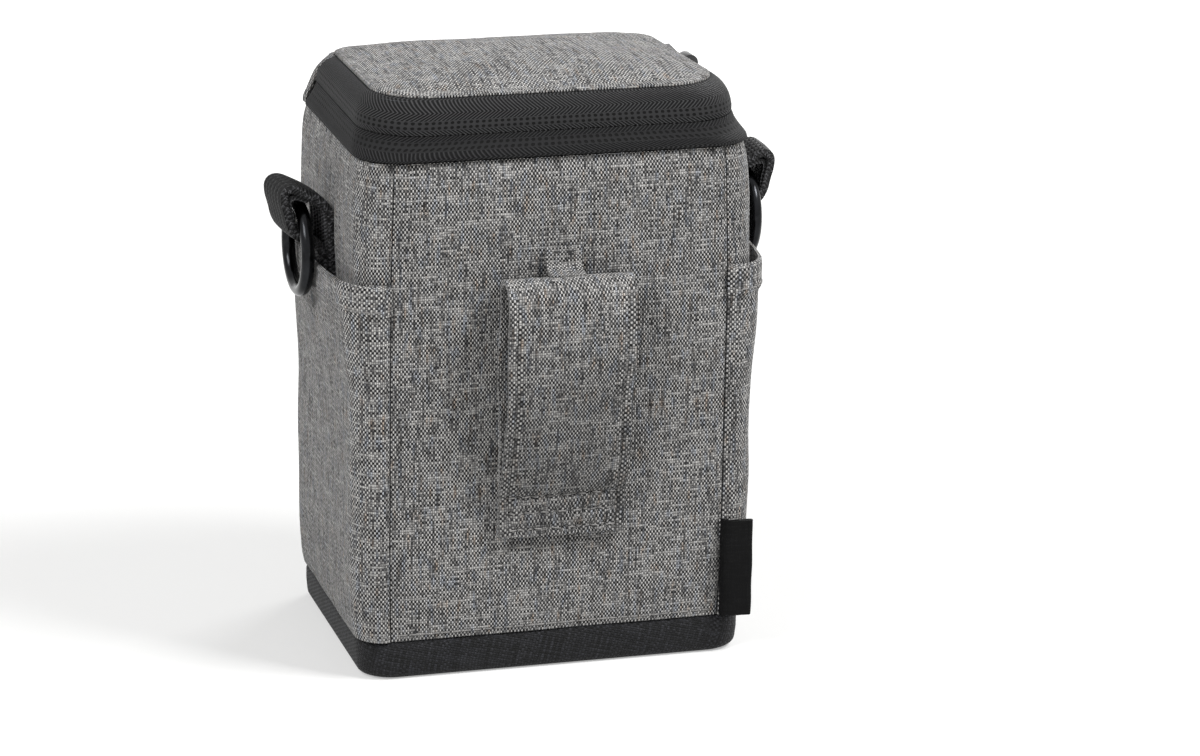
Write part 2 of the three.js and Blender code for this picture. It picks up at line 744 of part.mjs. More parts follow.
// Ring and webbing loop on one side: side is 1 on the right and -1 on the left
const ringRadius = (ringInside + ringWire) / 2;
const gatheredHalf = webbingGathered / 2;
const wireSag = ringRadius - Math.sqrt((ringInside / 2) ** 2 - gatheredHalf ** 2);
const tunnelHalf = (wireSag + ringWire / 2) / 2 + tunnelClearance;
const wireAbovePivot = tunnelHalf - tunnelClearance - ringWire / 2;

function sideFaceX(y) {
  const along = (y - (backCornerRadius - bodyDepth / 2)) / sideLength;
  return bodyWidth / 2 - frontTaper * along;
}

const ringX = sideFaceX(ringPlaceY) + ringStandOff;

// Section of the webbing in the XZ plane, from the side face outwards and about the pivot
function webbingLoopShape() {
  const wallX = layerGap - ringStandOff;
  const outer = tunnelHalf + webbingThickness;
  const headHeight = loopExtraHeight;
  const shape = new THREE.Shape();
  shape.moveTo(wallX, -outer);
  shape.lineTo(0, -outer);
  shape.absarc(0, 0, outer, -Math.PI / 2, 0, false);
  shape.lineTo(outer, headHeight);
  shape.absarc(0, headHeight, outer, 0, Math.PI / 2, false);
  shape.quadraticCurveTo(wallX / 2, headHeight + outer, wallX, headHeight);
  shape.closePath();
  const tunnel = new THREE.Path();
  tunnel.absarc(0, 0, tunnelHalf, Math.PI, 2 * Math.PI, false);
  tunnel.lineTo(tunnelHalf, headHeight);
  tunnel.absarc(0, headHeight, tunnelHalf, 0, Math.PI, false);
  tunnel.closePath();
  shape.holes.push(tunnel);
  return shape;
}

// Turns an extrusion of the XZ section so that its depth runs along Y, centred on the ring
function acrossY(geometry, width, side) {
  geometry.translate(0, 0, -width / 2);
  geometry.rotateX(Math.PI / 2);
  if (side < 0) geometry.rotateZ(Math.PI);
  return geometry;
}

function buildRing(name, side, pivotHeight) {
  const group = new THREE.Group();
  group.position.set(side * ringX, ringPlaceY, pivotHeight);
  bodyGroup.add(group);

  const loop = acrossY(prismGeometry(webbingLoopShape(), webbingGathered), webbingGathered, side);
  const wallX = layerGap - ringStandOff;
  const tailTop = loopExtraHeight;
  const tailFoot = -tunnelHalf - webbingThickness - webbingTail;
  const tail = new THREE.BoxGeometry(webbingThickness, webbingWidth, tailTop - tailFoot);
  tail.translate(side * (wallX + webbingThickness / 2), 0, (tailTop + tailFoot) / 2);
  addPiece(`${name}_webbing_loop`, joined(loop, tail), blackFabric, group);

  const ring = new THREE.TorusGeometry(ringRadius, ringWire / 2, ringSides, ringSteps);
  ring.rotateY(Math.PI / 2);
  ring.translate(0, 0, wireAbovePivot - ringRadius);
  addPiece(`${name}_ring`, ring, gunmetal, group);
}

// Slider: two plates joined by a neck that runs in the slit, with a bail for the puller
const zipFaceX = sideFaceX(sliderPlaceY) - zipInset;
const plateInner = sliderClearance;
const backPlateOuter = -tapeThickness - layerGap - coilThickness - layerGap;
const bailBarX = plateInner + sliderPlate + bailRise + bailBar / 2;

// Plate outline in the YZ plane: wide at the mouth, narrow at the tail, extruded along X
function sliderPlateGeometry(fromX, thickness) {
  const shape = new THREE.Shape();
  const halfLength = sliderLength / 2;
  const halfHeight = sliderHeight / 2;
  const cornerStart = halfLength - sliderCorner;
  shape.moveTo(halfLength, halfHeight - sliderCorner / 2);
  shape.quadraticCurveTo(halfLength, halfHeight, cornerStart, halfHeight);
  shape.lineTo(-halfLength, sliderNose / 2);
  shape.lineTo(-halfLength, -sliderNose / 2);
  shape.lineTo(cornerStart, -halfHeight);
  shape.quadraticCurveTo(halfLength, -halfHeight, halfLength, sliderCorner / 2 - halfHeight);
  shape.closePath();
  const geometry = prismGeometry(shape, thickness, plateSteps);
  const basis = new THREE.Matrix4().makeBasis(
    new THREE.Vector3(0, 1, 0),
    new THREE.Vector3(0, 0, 1),
    new THREE.Vector3(1, 0, 0),
  );
  geometry.applyMatrix4(basis);
  geometry.translate(fromX, 0, 0);
  return geometry;
}

function sliderGeometry() {
  const plates = [
    sliderPlateGeometry(plateInner, sliderPlate),
    sliderPlateGeometry(backPlateOuter - sliderPlate, sliderPlate),
  ];
  const overlap = sliderPlate / 2;
  const neckSpan = plateInner - backPlateOuter + 2 * overlap;
  const neck = new THREE.BoxGeometry(neckSpan, neckLength, neckThickness);
  neck.translate(plateInner + overlap - neckSpan / 2, sliderLength / 2 - neckLength, 0);
  // the plates lean with the band, but the neck stays level in the slit
  neck.rotateY(zipLean);
  const bar = new THREE.CylinderGeometry(bailBar / 2, bailBar / 2, bailLength, barSides);
  bar.translate(bailBarX, 0, 0);
  const legs = [-1, 1].map((end) => {
    const legSpan = bailRise + bailBar / 2 + overlap;
    const leg = new THREE.BoxGeometry(legSpan, bailBar, bailBar);
    return leg.translate(bailBarX - legSpan / 2, (end * (bailLength - bailBar)) / 2, 0);
  });
  return joined(...plates, neck, bar, ...legs);
}

// Puller: a flat tongue with an eye round the bail's bar, hanging down
function pullerGeometry() {
  const eyeOuter = bailBar / 2 + layerGap + pullerThickness;
  const eye = new THREE.Shape();
  eye.absarc(0, 0, eyeOuter, 0, 2 * Math.PI, false);
  const bore = new THREE.Path();
  bore.absarc(0, 0, bailBar / 2 + layerGap, 0, 2 * Math.PI, true);
  eye.holes.push(bore);
  const eyeWidth = bailLength - 2 * bailBar - 2 * layerGap;
  const eyeSolid = acrossY(prismGeometry(eye, eyeWidth, eyeSteps), eyeWidth, 1);

  const tongue = new THREE.Shape();
  const half = pullerWidth / 2;
  const neckHalf = eyeWidth / 2;
  tongue.moveTo(-neckHalf, -eyeOuter + pullerThickness / 2);
  tongue.lineTo(neckHalf, -eyeOuter + pullerThickness / 2);
  tongue.lineTo(half, -eyeOuter - pullerWidth / 2);
  tongue.lineTo(half, half - pullerLength);
  tongue.absarc(0, half - pullerLength, half, 0, -Math.PI, true);
  tongue.lineTo(-half, -eyeOuter - pullerWidth / 2);
  tongue.closePath();
  const hole = new THREE.Path();
  const holeY = pullerHoleEdge + pullerHoleHeight / 2 - pullerLength;
  hole.absellipse(0, holeY, pullerHoleWidth / 2, pullerHoleHeight / 2, 0, 2 * Math.PI, true);
  tongue.holes.push(hole);
  const tongueSolid = prismGeometry(tongue, pullerThickness);
  const basis = new THREE.Matrix4().makeBasis(
    new THREE.Vector3(0, 1, 0),
    new THREE.Vector3(0, 0, 1),
    new THREE.Vector3(1, 0, 0),
  );
  tongueSolid.applyMatrix4(basis);
  tongueSolid.translate(-pullerThickness / 2, 0, 0);
  return joined(eyeSolid, tongueSolid);
}

function buildSlider() {
  const slide = new THREE.Group();
  slide.position.set(zipFaceX, sliderPlaceY, zipHeightAt(sliderPlaceY));
  // the slider follows the zip line, which rises and runs in towards the front
  const turnZ = Math.atan2(frontTaper, sideLength);
  const turnX = Math.atan2(zipRise, bodyDepth);
  slide.rotation.set(turnX, 0, turnZ, "ZXY");
  const lean = new THREE.Group();
  lean.rotation.y = -zipLean;
  slide.add(lean);
  hardwareGroup.add(slide);
  addPiece("zip_slider", sliderGeometry(), sliderBlack, lean);

  const hang = new THREE.Group();
  hang.position.set(bailBarX * Math.cos(zipLean), 0, bailBarX * Math.sin(zipLean));
  slide.add(hang);
  addPiece("zip_puller", pullerGeometry(), sliderBlack, hang);
}

buildBase();
buildWalls();
buildLining();
buildPockets();
buildZipBand();
addPiece("lower_zip_coil", coilGeometry(-1), coilPlastic);
addPiece("upper_zip_coil", coilGeometry(1), coilPlastic, lidGroup);
buildLid();
buildBeltLoop();
buildLabel();
buildRing("left", -1, leftPivotHeight);
buildRing("right", 1, rightPivotHeight);
buildSlider();

const pouch = new THREE.Group();
pouch.add(bodyGroup, lidGroup, hardwareGroup);

export default pouch;
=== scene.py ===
# Camera belt pouch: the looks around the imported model. Sizes are written in mm, and Blender's are metres.
import math
import bpy
import numpy as np
from mathutils import Matrix, Vector


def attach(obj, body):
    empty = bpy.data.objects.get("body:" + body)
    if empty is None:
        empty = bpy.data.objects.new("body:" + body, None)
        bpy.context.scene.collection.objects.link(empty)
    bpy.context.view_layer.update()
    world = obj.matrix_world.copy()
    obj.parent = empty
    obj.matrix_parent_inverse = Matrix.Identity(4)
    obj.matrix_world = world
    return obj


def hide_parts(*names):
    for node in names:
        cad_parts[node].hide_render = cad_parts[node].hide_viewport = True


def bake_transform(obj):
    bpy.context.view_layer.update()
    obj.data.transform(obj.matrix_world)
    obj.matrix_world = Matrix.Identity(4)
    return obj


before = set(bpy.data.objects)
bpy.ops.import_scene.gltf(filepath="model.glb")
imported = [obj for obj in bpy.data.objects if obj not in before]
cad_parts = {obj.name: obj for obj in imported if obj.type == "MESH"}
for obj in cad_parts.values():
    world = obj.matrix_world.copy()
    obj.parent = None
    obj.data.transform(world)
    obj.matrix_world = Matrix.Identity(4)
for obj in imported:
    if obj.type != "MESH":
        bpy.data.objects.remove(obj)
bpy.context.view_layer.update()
mm = 0.001
print("frame loaded")

# The padded body, as the solids have it
body = {
    "width": 118.6, "depth": 87.4,
    "rearCorner": 8.8, "frontCorner": 8.6, "frontTaper": 1.6,
    "footTaper": 1.2, "footTaperHeight": 40.0,
    "baseBand": 11.5, "baseRounding": 3.0,
    "panelTop": 154.3, "panelTopRise": 1.2, "topCornerGrowth": 4.5, "topCornerReach": 45.0,
    "zipLine": 161.5, "zipRise": 2.2, "lidSeam": 171.4, "zipInset": 3.2, "zipCornerGrowth": 9.0,
    "seamGap": 0.3,
}
back = -body["depth"] / 2
halfSeam = body["seamGap"] / 2
panelLow = body["baseBand"] + body["seamGap"]


def lengthsRound(growth):
    # lengths from the middle of the back: back, rear corner, side, front corner, front
    rear, front = body["rearCorner"] + growth, body["frontCorner"]
    return np.cumsum([0, body["width"] / 2 - rear, math.pi / 2 * rear, body["depth"] - rear - front,
                      math.pi / 2 * front, body["width"] / 2 - body["frontTaper"] - front])


milestones = lengthsRound(0)
zipMilestones = lengthsRound(body["zipCornerGrowth"])
topMilestones = lengthsRound(body["topCornerGrowth"])
halfRound = milestones[-1]
rearArc, sideLength = np.diff(milestones)[1:3]
zipMargin = 1.0  # from the end of the straight side to the end of the zip
zipEnd = zipMilestones[3] - zipMargin * (1 - body["zipCornerGrowth"] / sideLength)


def outlineAt(distance, inset=0.0, shrink=0.0, growth=0.0, marks=milestones):
    # x, y and the outward normal at a distance round the body; negative distances are on the left
    wrapped = (np.asarray(distance, float) + marks[-1]) % (2 * marks[-1]) - marks[-1]
    place = np.interp(np.abs(wrapped), marks, range(6))
    halfDepth = body["depth"] / 2 - inset
    rear = body["rearCorner"] - shrink + growth
    front = body["frontCorner"] - shrink
    halfWidth = body["width"] / 2 - inset - body["frontTaper"] * growth / sideLength
    frontHalf = body["width"] / 2 - inset - body["frontTaper"]
    angle = np.radians(np.interp(place, range(6), [-90, -90, 0, 0, 90, 90]))
    along = place - 2
    zones = [place <= 1, place <= 2, place <= 3, place <= 4]
    x = np.select(zones, [
        place * (halfWidth - rear),
        halfWidth - rear + rear * np.cos(angle),
        halfWidth + (frontHalf - halfWidth) * along,
        frontHalf - front + front * np.cos(angle),
    ], (5 - place) * (frontHalf - front))
    y = np.select(zones, [
        -halfDepth + 0 * place,
        rear - halfDepth + rear * np.sin(angle),
        rear - halfDepth + (2 * halfDepth - rear - front) * along,
        halfDepth - front + front * np.sin(angle),
    ], halfDepth + 0 * place)
    side = np.where(wrapped < 0, -1.0, 1.0)
    return side * x, y, side * np.cos(angle), np.sin(angle)


def forward(y):
    return (y - back) / body["depth"]


def cornerShare(height):
    # how far the rear corners have widened at a height, from 0 to 1 at the panels' top
    return smooth(height, body["panelTop"] - body["topCornerReach"], body["panelTop"])


def wallPoints(distance, height, out):
    inset = body["footTaper"] * (1 - np.clip(height / body["footTaperHeight"], 0, 1)) ** 2
    low = np.array(outlineAt(distance, inset))
    high = np.array(outlineAt(distance * topMilestones[-1] / halfRound, inset, 0, body["topCornerGrowth"],
                              topMilestones))
    x, y, nx, ny = low + (high - low) * cornerShare(height)
    return np.stack([x + nx * out, y + ny * out, height + 0 * x], 1)


def panelTopAt(distance):
    return body["panelTop"] + body["panelTopRise"] * forward(outlineAt(distance)[1])


def zipOutline(distance, inset, shrink=0.0, share=1.0):
    # at a distance along the zip; share is how much of its corners' extra width it has there
    return outlineAt(distance, inset, shrink, body["zipCornerGrowth"] * share, zipMilestones)


def zipLineAt(distance):
    return body["zipLine"] + body["zipRise"] * forward(zipOutline(distance, body["zipInset"])[1])


def zipSeamAt(distance):
    return body["panelTop"] + body["panelTopRise"] * forward(zipOutline(distance, 0, 0, 0)[1]) + halfSeam


def ripple(u, v, size, seed, waves=8):
    # smooth, random and the same each run; size is the usual length of a wave in mm
    chance = np.random.default_rng(seed)
    total = 0 * u
    for _ in range(waves):
        turn, phase = chance.uniform(0, 2 * math.pi, 2)
        pace = 2 * math.pi / (size * chance.uniform(0.65, 1.7))
        total = total + np.cos(pace * (u * math.cos(turn) + v * math.sin(turn)) + phase)
    return total / math.sqrt(waves)


def fade(distance, reach, power=1.5):
    return np.exp(-(np.maximum(distance, 0) / reach) ** power)


def smooth(value, low, high):
    share = np.clip((value - low) / (high - low), 0, 1)
    return share * share * (3 - 2 * share)


# Helpers for making pieces

def deselect():
    if bpy.context.object and bpy.context.object.mode != "OBJECT":
        bpy.ops.object.mode_set(mode="OBJECT")
    bpy.ops.object.select_all(action="DESELECT")


def choose(*pieces):
    deselect()
    for piece in pieces:
        piece.select_set(True)
    bpy.context.view_layer.objects.active = pieces[0]


def modify(piece, kind, **settings):
    choose(piece)
    modifier = piece.modifiers.new(kind.title(), kind)
    for name, value in settings.items():
        setattr(modifier, name, value)
    bpy.ops.object.modifier_apply(modifier=modifier.name)


def rounded(points, rounds=3):
    # cuts the corners of a path again and again, and keeps its ends
    points = np.array(points, float)
    for _ in range(rounds):
        cut = np.empty((2 * len(points) - 2, points.shape[1]))
        cut[0::2] = 0.75 * points[:-1] + 0.25 * points[1:]
        cut[1::2] = 0.25 * points[:-1] + 0.75 * points[1:]
        points = np.vstack([points[:1], cut, points[-1:]])
    return points


def reachOf(path):
    return np.concatenate([[0], np.cumsum(np.linalg.norm(np.diff(path, axis=0), axis=1))])


def pathAt(path, share):
    reach = reachOf(path)
    return [np.interp(share * reach[-1], reach, path[:, axis]) for axis in range(path.shape[1])]


def pointsOf(mesh):
    flat = np.empty(3 * len(mesh.vertices))
    mesh.vertices.foreach_get("co", flat)
    return flat.reshape(-1, 3)


def add(name, data):
    piece = bpy.data.objects.new(name, data)
    bpy.context.collection.objects.link(piece)
    return piece


def finishShading(piece, angle=40):
    choose(piece)
    bpy.ops.object.shade_smooth_by_angle(angle=math.radians(angle))


def gridSheet(name, across, along, shape, weave, centre=(0, 0, 80), thickness=0.9, offset=-1.0):
    # a grid primitive whose points are laid on a surface, then given the cloth's thickness
    deselect()
    bpy.ops.mesh.primitive_grid_add(x_subdivisions=across, y_subdivisions=along, size=1)
    piece = bpy.context.object
    piece.name = name
    mesh = piece.data
    u, v = pointsOf(mesh).T[:2] + 0.5
    points = shape(u, v)
    mesh.vertices.foreach_set("co", (points * mm).ravel())
    loops = np.empty(len(mesh.loops), int)
    mesh.loops.foreach_get("vertex_index", loops)
    u, v, points = u[loops], v[loops], points[loops]
    if callable(weave):
        faceU, faceV = [np.repeat(values.reshape(-1, 4).mean(1), 4) for values in (u, v)]
        s, t = weave(u, v, points, faceU, faceV)
    else:
        s, t = u * weave[0], v * weave[1]
    mesh.uv_layers.active.data.foreach_set("uv", (np.stack([s, t], 1) * mm).ravel())
    mesh.update()
    normals = np.array([face.normal for face in mesh.polygons])
    middles = np.array([face.center for face in mesh.polygons])
    if ((middles - np.array(centre) * mm) * normals).sum() < 0:
        mesh.flip_normals()
    modify(piece, "SOLIDIFY", thickness=thickness * mm, offset=offset, use_quality_normals=True)
    finishShading(piece)
    return piece


def copyOfSolid(node, name, merge, flatAngle=0):
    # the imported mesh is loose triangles, so a copy of it is merged first
    piece = add(name, bpy.data.objects[node].data.copy())
    choose(piece)
    bpy.ops.object.mode_set(mode="EDIT")
    bpy.ops.mesh.select_all(action="SELECT")
    bpy.ops.mesh.remove_doubles(threshold=merge * mm)
    if flatAngle:
        bpy.ops.mesh.dissolve_limited(angle_limit=math.radians(flatAngle))
    bpy.ops.object.mode_set(mode="OBJECT")
    return piece


def weaveRims(piece):
    # a sheet's cut edges have no width on the cloth's map, so their thickness is laid out there
    mesh = piece.data
    layer = mesh.uv_layers.active.data
    for face in mesh.polygons:
        loops = list(face.loop_indices)
        places = [layer[loop].uv.copy() for loop in loops]
        area = abs(sum(a.cross(b) for a, b in zip(places, places[1:] + places[:1]))) / 2
        if area > 0.3 * face.area:  # it already has its width on the map
            continue
        points = [mesh.vertices[mesh.loops[loop].vertex_index].co for loop in loops]
        first = max(range(len(loops)), key=lambda i: (places[i] - places[i - 1]).length)
        run = (places[first] - places[first - 1]).normalized()
        across = face.normal.cross((points[first] - points[first - 1]).normalized())
        for loop, place, point in zip(loops, places, points):
            layer[loop].uv = place + Vector((-run.y, run.x)) * (point - points[first]).dot(across)


def roundRims(piece, width):
    # a thick cloth's cut edges are rounded, and then get the weave
    modify(piece, "BEVEL", width=width * mm, segments=2, limit_method="ANGLE", angle_limit=math.radians(50))
    finishShading(piece)
    weaveRims(piece)


def settle(piece, material, slot, bodyName, *nodes):
    # the piece's finish, the body it moves with and the solids it stands for
    piece.data.materials.clear()
    piece.data.materials.append(material)
    if bodyName:
        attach(piece, bodyName)
    if nodes:
        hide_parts(*nodes)


def normalOn(shape, u, v):
    step = 1e-3
    alongU = shape(u + step, v) - shape(u - step, v)
    alongV = shape(u, v + step) - shape(u, v - step)
    normal = np.cross(alongU, alongV)
    return normal / np.linalg.norm(normal, axis=1, keepdims=True)


def lineOn(shape, start, end, lift=0.0, turned=1, count=200):
    # points and normals along a straight line drawn on a sheet, from (u, v) to (u, v)
    u = np.linspace(start[0], end[0], count)
    v = np.linspace(start[1], end[1], count)
    normals = normalOn(shape, u, v) * turned
    return shape(u, v) + normals * lift, normals


threadLook = {"stitch": 2.5, "pitch": 3.1, "width": 0.5, "height": 0.42, "reach": 0.8}


def makeStitch(look):
    deselect()
    bpy.ops.mesh.primitive_uv_sphere_add(segments=8, ring_count=6, radius=0.5)
    stitch = bpy.context.object
    size = Vector((look["stitch"], look["width"], look["height"])) * mm
    stitch.data.transform(Matrix.Rotation(math.pi / 2, 4, "Y"))
    stitch.data.transform(Matrix.Diagonal((*size, 1)))
    stitch.data.shade_smooth()
    return stitch


def sewn(name, runs, material):
    # one stitch is made, then copied along each run of points
    look = threadLook
    stitch = makeStitch(look)
    copies = []
    for points, normals in runs:
        reach = reachOf(points)
        count = max(1, int(reach[-1] // look["pitch"]))
        for i in range(count):
            middle = (i + 0.5) * reach[-1] / count
            at, before, after, normal = [
                Vector([np.interp(where, reach, values[:, axis]) for axis in range(3)])
                for where, values in [(middle, points), (middle - look["reach"], points),
                                      (middle + look["reach"], points), (middle, normals)]
            ]
            ahead = (after - before).normalized()
            up = (normal - ahead * normal.dot(ahead)).normalized()
            turn = Matrix((ahead, up.cross(ahead), up)).transposed().to_4x4()
            copies.append(add(name, stitch.data.copy()))
            copies[-1].data.transform(Matrix.Translation(at * mm) @ turn)
    bpy.data.objects.remove(stitch)
    choose(*copies)
    bpy.ops.object.join()
    piece = bpy.context.object
    piece.name = name
    settle(piece, material, "heather_fabric", "body")


# Finishes

colourA, colourB, colourOut = 6, 7, 2  # the Mix node's colour sockets


def linear(code):
    # an sRGB hex colour as Blender's linear values
    parts = [int(code[i:i + 2], 16) / 255 for i in (1, 3, 5)]
    return [c / 12.92 if c <= 0.04045 else ((c + 0.055) / 1.055) ** 2.4 for c in parts] + [1.0]


def setStops(elements, stops):
    while len(elements) < len(stops):
        elements.new(0.5)
    for element, (place, code) in zip(elements, stops):
        element.position = place
        element.color = linear(code)


def join(tree, node, links):
    # a source is a socket, or a node whose first output is meant
    for name, source in links.items():
        tree.links.new(source.outputs[0] if hasattr(source, "outputs") else source, node.inputs[name])


def addNode(tree, kind, settings=None, links=None):
    # settings are the node's own ones, a ramp's stops, or values of its sockets
    node = tree.nodes.new("ShaderNode" + kind)
    for name, value in (settings or {}).items():
        if name == "stops":
            setStops(node.color_ramp.elements, value)
        elif isinstance(name, str) and hasattr(node, name):
            setattr(node, name, value)
        else:
            node.inputs[name].default_value = value
    join(tree, node, links or {})
    return node


def newFinish(name, surface):
    material = bpy.data.materials.new(name)
    material.use_nodes = True
    tree = material.node_tree
    shader = tree.nodes["Principled BSDF"]
    for socket, value in surface.items():
        shader.inputs[socket].default_value = value
    return material, tree, shader


def wearFinish(tree, shader, colour, height, strength, depth):
    # the last two links of each finish: its colour, and its relief of a real depth in mm
    relief = addNode(tree, "Bump", {"Strength": strength, "Distance": depth * mm}, {"Height": height})
    join(tree, shader, {"Base Color": colour, "Normal": relief})


oneWave = 2 * math.pi / 20  # the Wave node's scale for one band per unit
noiseBand = {"From Min": 0.32, "From Max": 0.68}  # where most of a noise's values lie
roughBand = {"From Min": 0.35, "From Max": 0.7}  # the noise between the smoothest and the roughest spots
archFoot = 0.55  # a thread's height where it passes under, as a share of its height on top
threadChange = 7.31, 5.77  # how fast the noise changes from one warp or weft thread to the next


def wovenCloth(name, look):
    # plain weave on the cloth's own map: warp threads run along V and weft threads along U
    material, tree, shader = newFinish(name, look["surface"])
    onCloth = addNode(tree, "TexCoord").outputs["UV"]
    wander = addNode(tree, "TexNoise", {"Scale": 1 / (look["wanderSize"] * mm), "Detail": 1.0},
                     {"Vector": onCloth})
    centred = addNode(tree, "VectorMath", {"operation": "SUBTRACT", 1: (0.5, 0.5, 0.5)},
                      {0: wander.outputs["Color"]})
    turned = addNode(tree, "Mapping", {"Rotation": (0, 0, math.radians(look["turn"]))}, {"Vector": onCloth})
    perThread = (1 / (look["warp"] * mm), 1 / (look["weft"] * mm), 0)
    counted = addNode(tree, "VectorMath", {"operation": "MULTIPLY", 1: perThread}, {0: turned})
    threads = addNode(tree, "VectorMath",
                      {"operation": "MULTIPLY_ADD", 1: (look["wander"], look["wander"], 0)},
                      {0: centred, 2: counted})
    cell = addNode(tree, "VectorMath", {"operation": "FLOOR"}, {0: threads})
    x, y = addNode(tree, "SeparateXYZ", None, {"Vector": threads}).outputs[:2]
    cellX, cellY = addNode(tree, "SeparateXYZ", None, {"Vector": cell}).outputs[:2]
    over = addNode(tree, "TexChecker", {"Scale": 1.0, "Color1": (0, 0, 0, 1), "Color2": (1, 1, 1, 1)},
                   {"Vector": threads}).outputs["Fac"]

    # each thread is round across its width and arches where it passes over
    crowns = []
    for ways in ("XY", "YX"):
        width, arch = [addNode(tree, "TexWave", {"bands_direction": way, "Scale": oneWave},
                               {"Vector": threads}).outputs["Fac"] for way in ways]
        low = addNode(tree, "Math", {"operation": "MULTIPLY_ADD", 1: 1 - archFoot, 2: archFoot}, {0: arch})
        crowns.append(addNode(tree, "Math", {"operation": "MULTIPLY"}, {0: width, 1: low}))
    height = addNode(tree, "Mix", {"data_type": "FLOAT"}, {0: over, 2: crowns[0], 3: crowns[1]})

    # light and dark fibres change slowly along each thread, and from thread to thread
    tones = []
    for strandX, strandY, pace, (low, high) in (
        (cellX, y, (threadChange[0], look["slub"], 1), look["warpTone"]),
        (x, cellY, (look["slub"], threadChange[1], 1), look["weftTone"]),
    ):
        strand = addNode(tree, "CombineXYZ", None, {"X": strandX, "Y": strandY})
        spread = addNode(tree, "VectorMath", {"operation": "MULTIPLY", 1: pace}, {0: strand})
        noise = addNode(tree, "TexNoise",
                        {"noise_dimensions": "2D", "Scale": 1.0, "Detail": 2.0, "Roughness": 0.6},
                        {"Vector": spread})
        tones.append(addNode(tree, "MapRange", {**noiseBand, "To Min": low, "To Max": high},
                             {"Value": noise}))
    tone = addNode(tree, "Mix", {"data_type": "FLOAT"}, {0: over, 2: tones[0], 3: tones[1]})
    chance = addNode(tree, "TexWhiteNoise", {"noise_dimensions": "2D"}, {"Vector": cell})
    mixed = addNode(tree, "Math", {"operation": "MULTIPLY_ADD", 1: look["speckle"]}, {0: chance, 2: tone})
    colour = addNode(tree, "ValToRGB", {"stops": look["yarn"]}, {"Fac": mixed})

    # faint brown and blue fibres, then painted shade in the gaps between the threads, then, where a look has
    # it, painted shade along the piece
    wide, tall = look["tintSize"]
    spread = addNode(tree, "VectorMath", {"operation": "MULTIPLY", 1: (1 / (wide * mm), 1 / (tall * mm), 0)},
                     {0: onCloth})
    patch = addNode(tree, "TexNoise", {"Scale": 1.0, "Detail": 1.0}, {"Vector": spread})
    shades = [
        addNode(tree, "ValToRGB", {"stops": look["tints"]}, {"Fac": patch}),
        # painted shade in the gaps between the threads, darker where a thread's height is low
        addNode(tree, "MapRange", {"To Min": look["gapShade"], "To Max": 1.0}, {"Value": height}),
    ]
    # painted shade along the piece: darker from its start to its end, in mm along the map
    if "footShade" in look:
        start, end, left = look["footShade"]
        along = addNode(tree, "SeparateXYZ", None, {"Vector": onCloth}).outputs["Y"]
        shades.append(addNode(tree, "MapRange", {"From Min": start * mm, "From Max": end * mm,
                                                 "To Min": 1.0, "To Max": left}, {"Value": along}))
    for shade in shades:
        colour = addNode(tree, "Mix", {"data_type": "RGBA", "blend_type": "MULTIPLY", 0: 1.0},
                         {colourA: colour, colourB: shade}).outputs[colourOut]
    wearFinish(tree, shader, colour, height, look["relief"], look["depth"])
    return material


# Heather polyester: light warp over dark weft, with slubs; grey with a grain of bright and black dots
heatherLook = {
    "surface": {"Roughness": 0.88, "Specular IOR Level": 0.25, "Sheen Weight": 0.12, "Sheen Roughness": 0.5},
    "warp": 0.535, "weft": 0.75, "turn": 0, "wander": 0.6, "wanderSize": 5,
    "slub": 0.06, "warpTone": (0.34, 1.06), "weftTone": (-0.24, 0.44), "speckle": 0.42,
    "yarn": [(0.0, "#0d0d0f"), (0.35, "#505052"), (0.65, "#b8b6b4"), (1.0, "#fbf9f6")],
    "tintSize": (1.6, 7.0),
    "tints": [(0.3, "#e2e9f5"), (0.45, "#ffffff"), (0.62, "#ffffff"), (0.75, "#ecdccf")],
    "gapShade": 0.2, "relief": 0.8, "depth": 0.3,
}
heatherPolyester = wovenCloth("heather polyester, plain weave", heatherLook)

# The strap's own length of it: a shade darker towards its foot, which is painted shade where the strap turns
# down away from the light. Its painted shade is given by where it starts and ends, in mm along the strap, and
# the share of the colour that is left.
footShadedPolyester = wovenCloth("heather polyester, painted shade towards the foot", {**heatherLook, "footShade": (92, 132, 0.7)})

# Ballistic nylon: coarse black basket of thick yarns, laid on the bias; dark, with small satin glints that
# are partly its gloss and partly painted highlight in lighter yarn
ballisticNylon = wovenCloth("ballistic nylon, coarse weave", {
    "surface": {"Roughness": 0.62, "Specular IOR Level": 0.2, "Sheen Weight": 0.03, "Sheen Roughness": 0.4},
    "warp": 0.95, "weft": 0.7, "turn": 14, "wander": 0.2, "wanderSize": 7,
    "slub": 0.05, "warpTone": (0.3, 0.9), "weftTone": (0.1, 0.7), "speckle": 0.2,
    "yarn": [(0.0, "#050506"), (0.5, "#151516"), (1.0, "#3c3c40")],
    "tintSize": (12, 12), "tints": [(0.3, "#eef1f6"), (0.7, "#ffffff")],
    "gapShade": 0.35, "relief": 0.8, "depth": 0.3,
})

# Nylon taffeta: fine, smooth lining cloth; mid grey with a soft sheen
liningTaffeta = wovenCloth("nylon taffeta lining", {
    "surface": {"Roughness": 0.55, "Specular IOR Level": 0.4, "Sheen Weight": 0.15, "Sheen Roughness": 0.35},
    "warp": 0.4, "weft": 0.4, "turn": 0, "wander": 0.2, "wanderSize": 8,
    "slub": 0.05, "warpTone": (0.4, 0.8), "weftTone": (0.3, 0.7), "speckle": 0.1,
    "yarn": [(0.0, "#36383b"), (0.5, "#53565a"), (1.0, "#6c7075")],
    "tintSize": (30, 30), "tints": [(0.3, "#f2f4f8"), (0.7, "#ffffff")],
    "gapShade": 0.7, "relief": 0.35, "depth": 0.3,
})

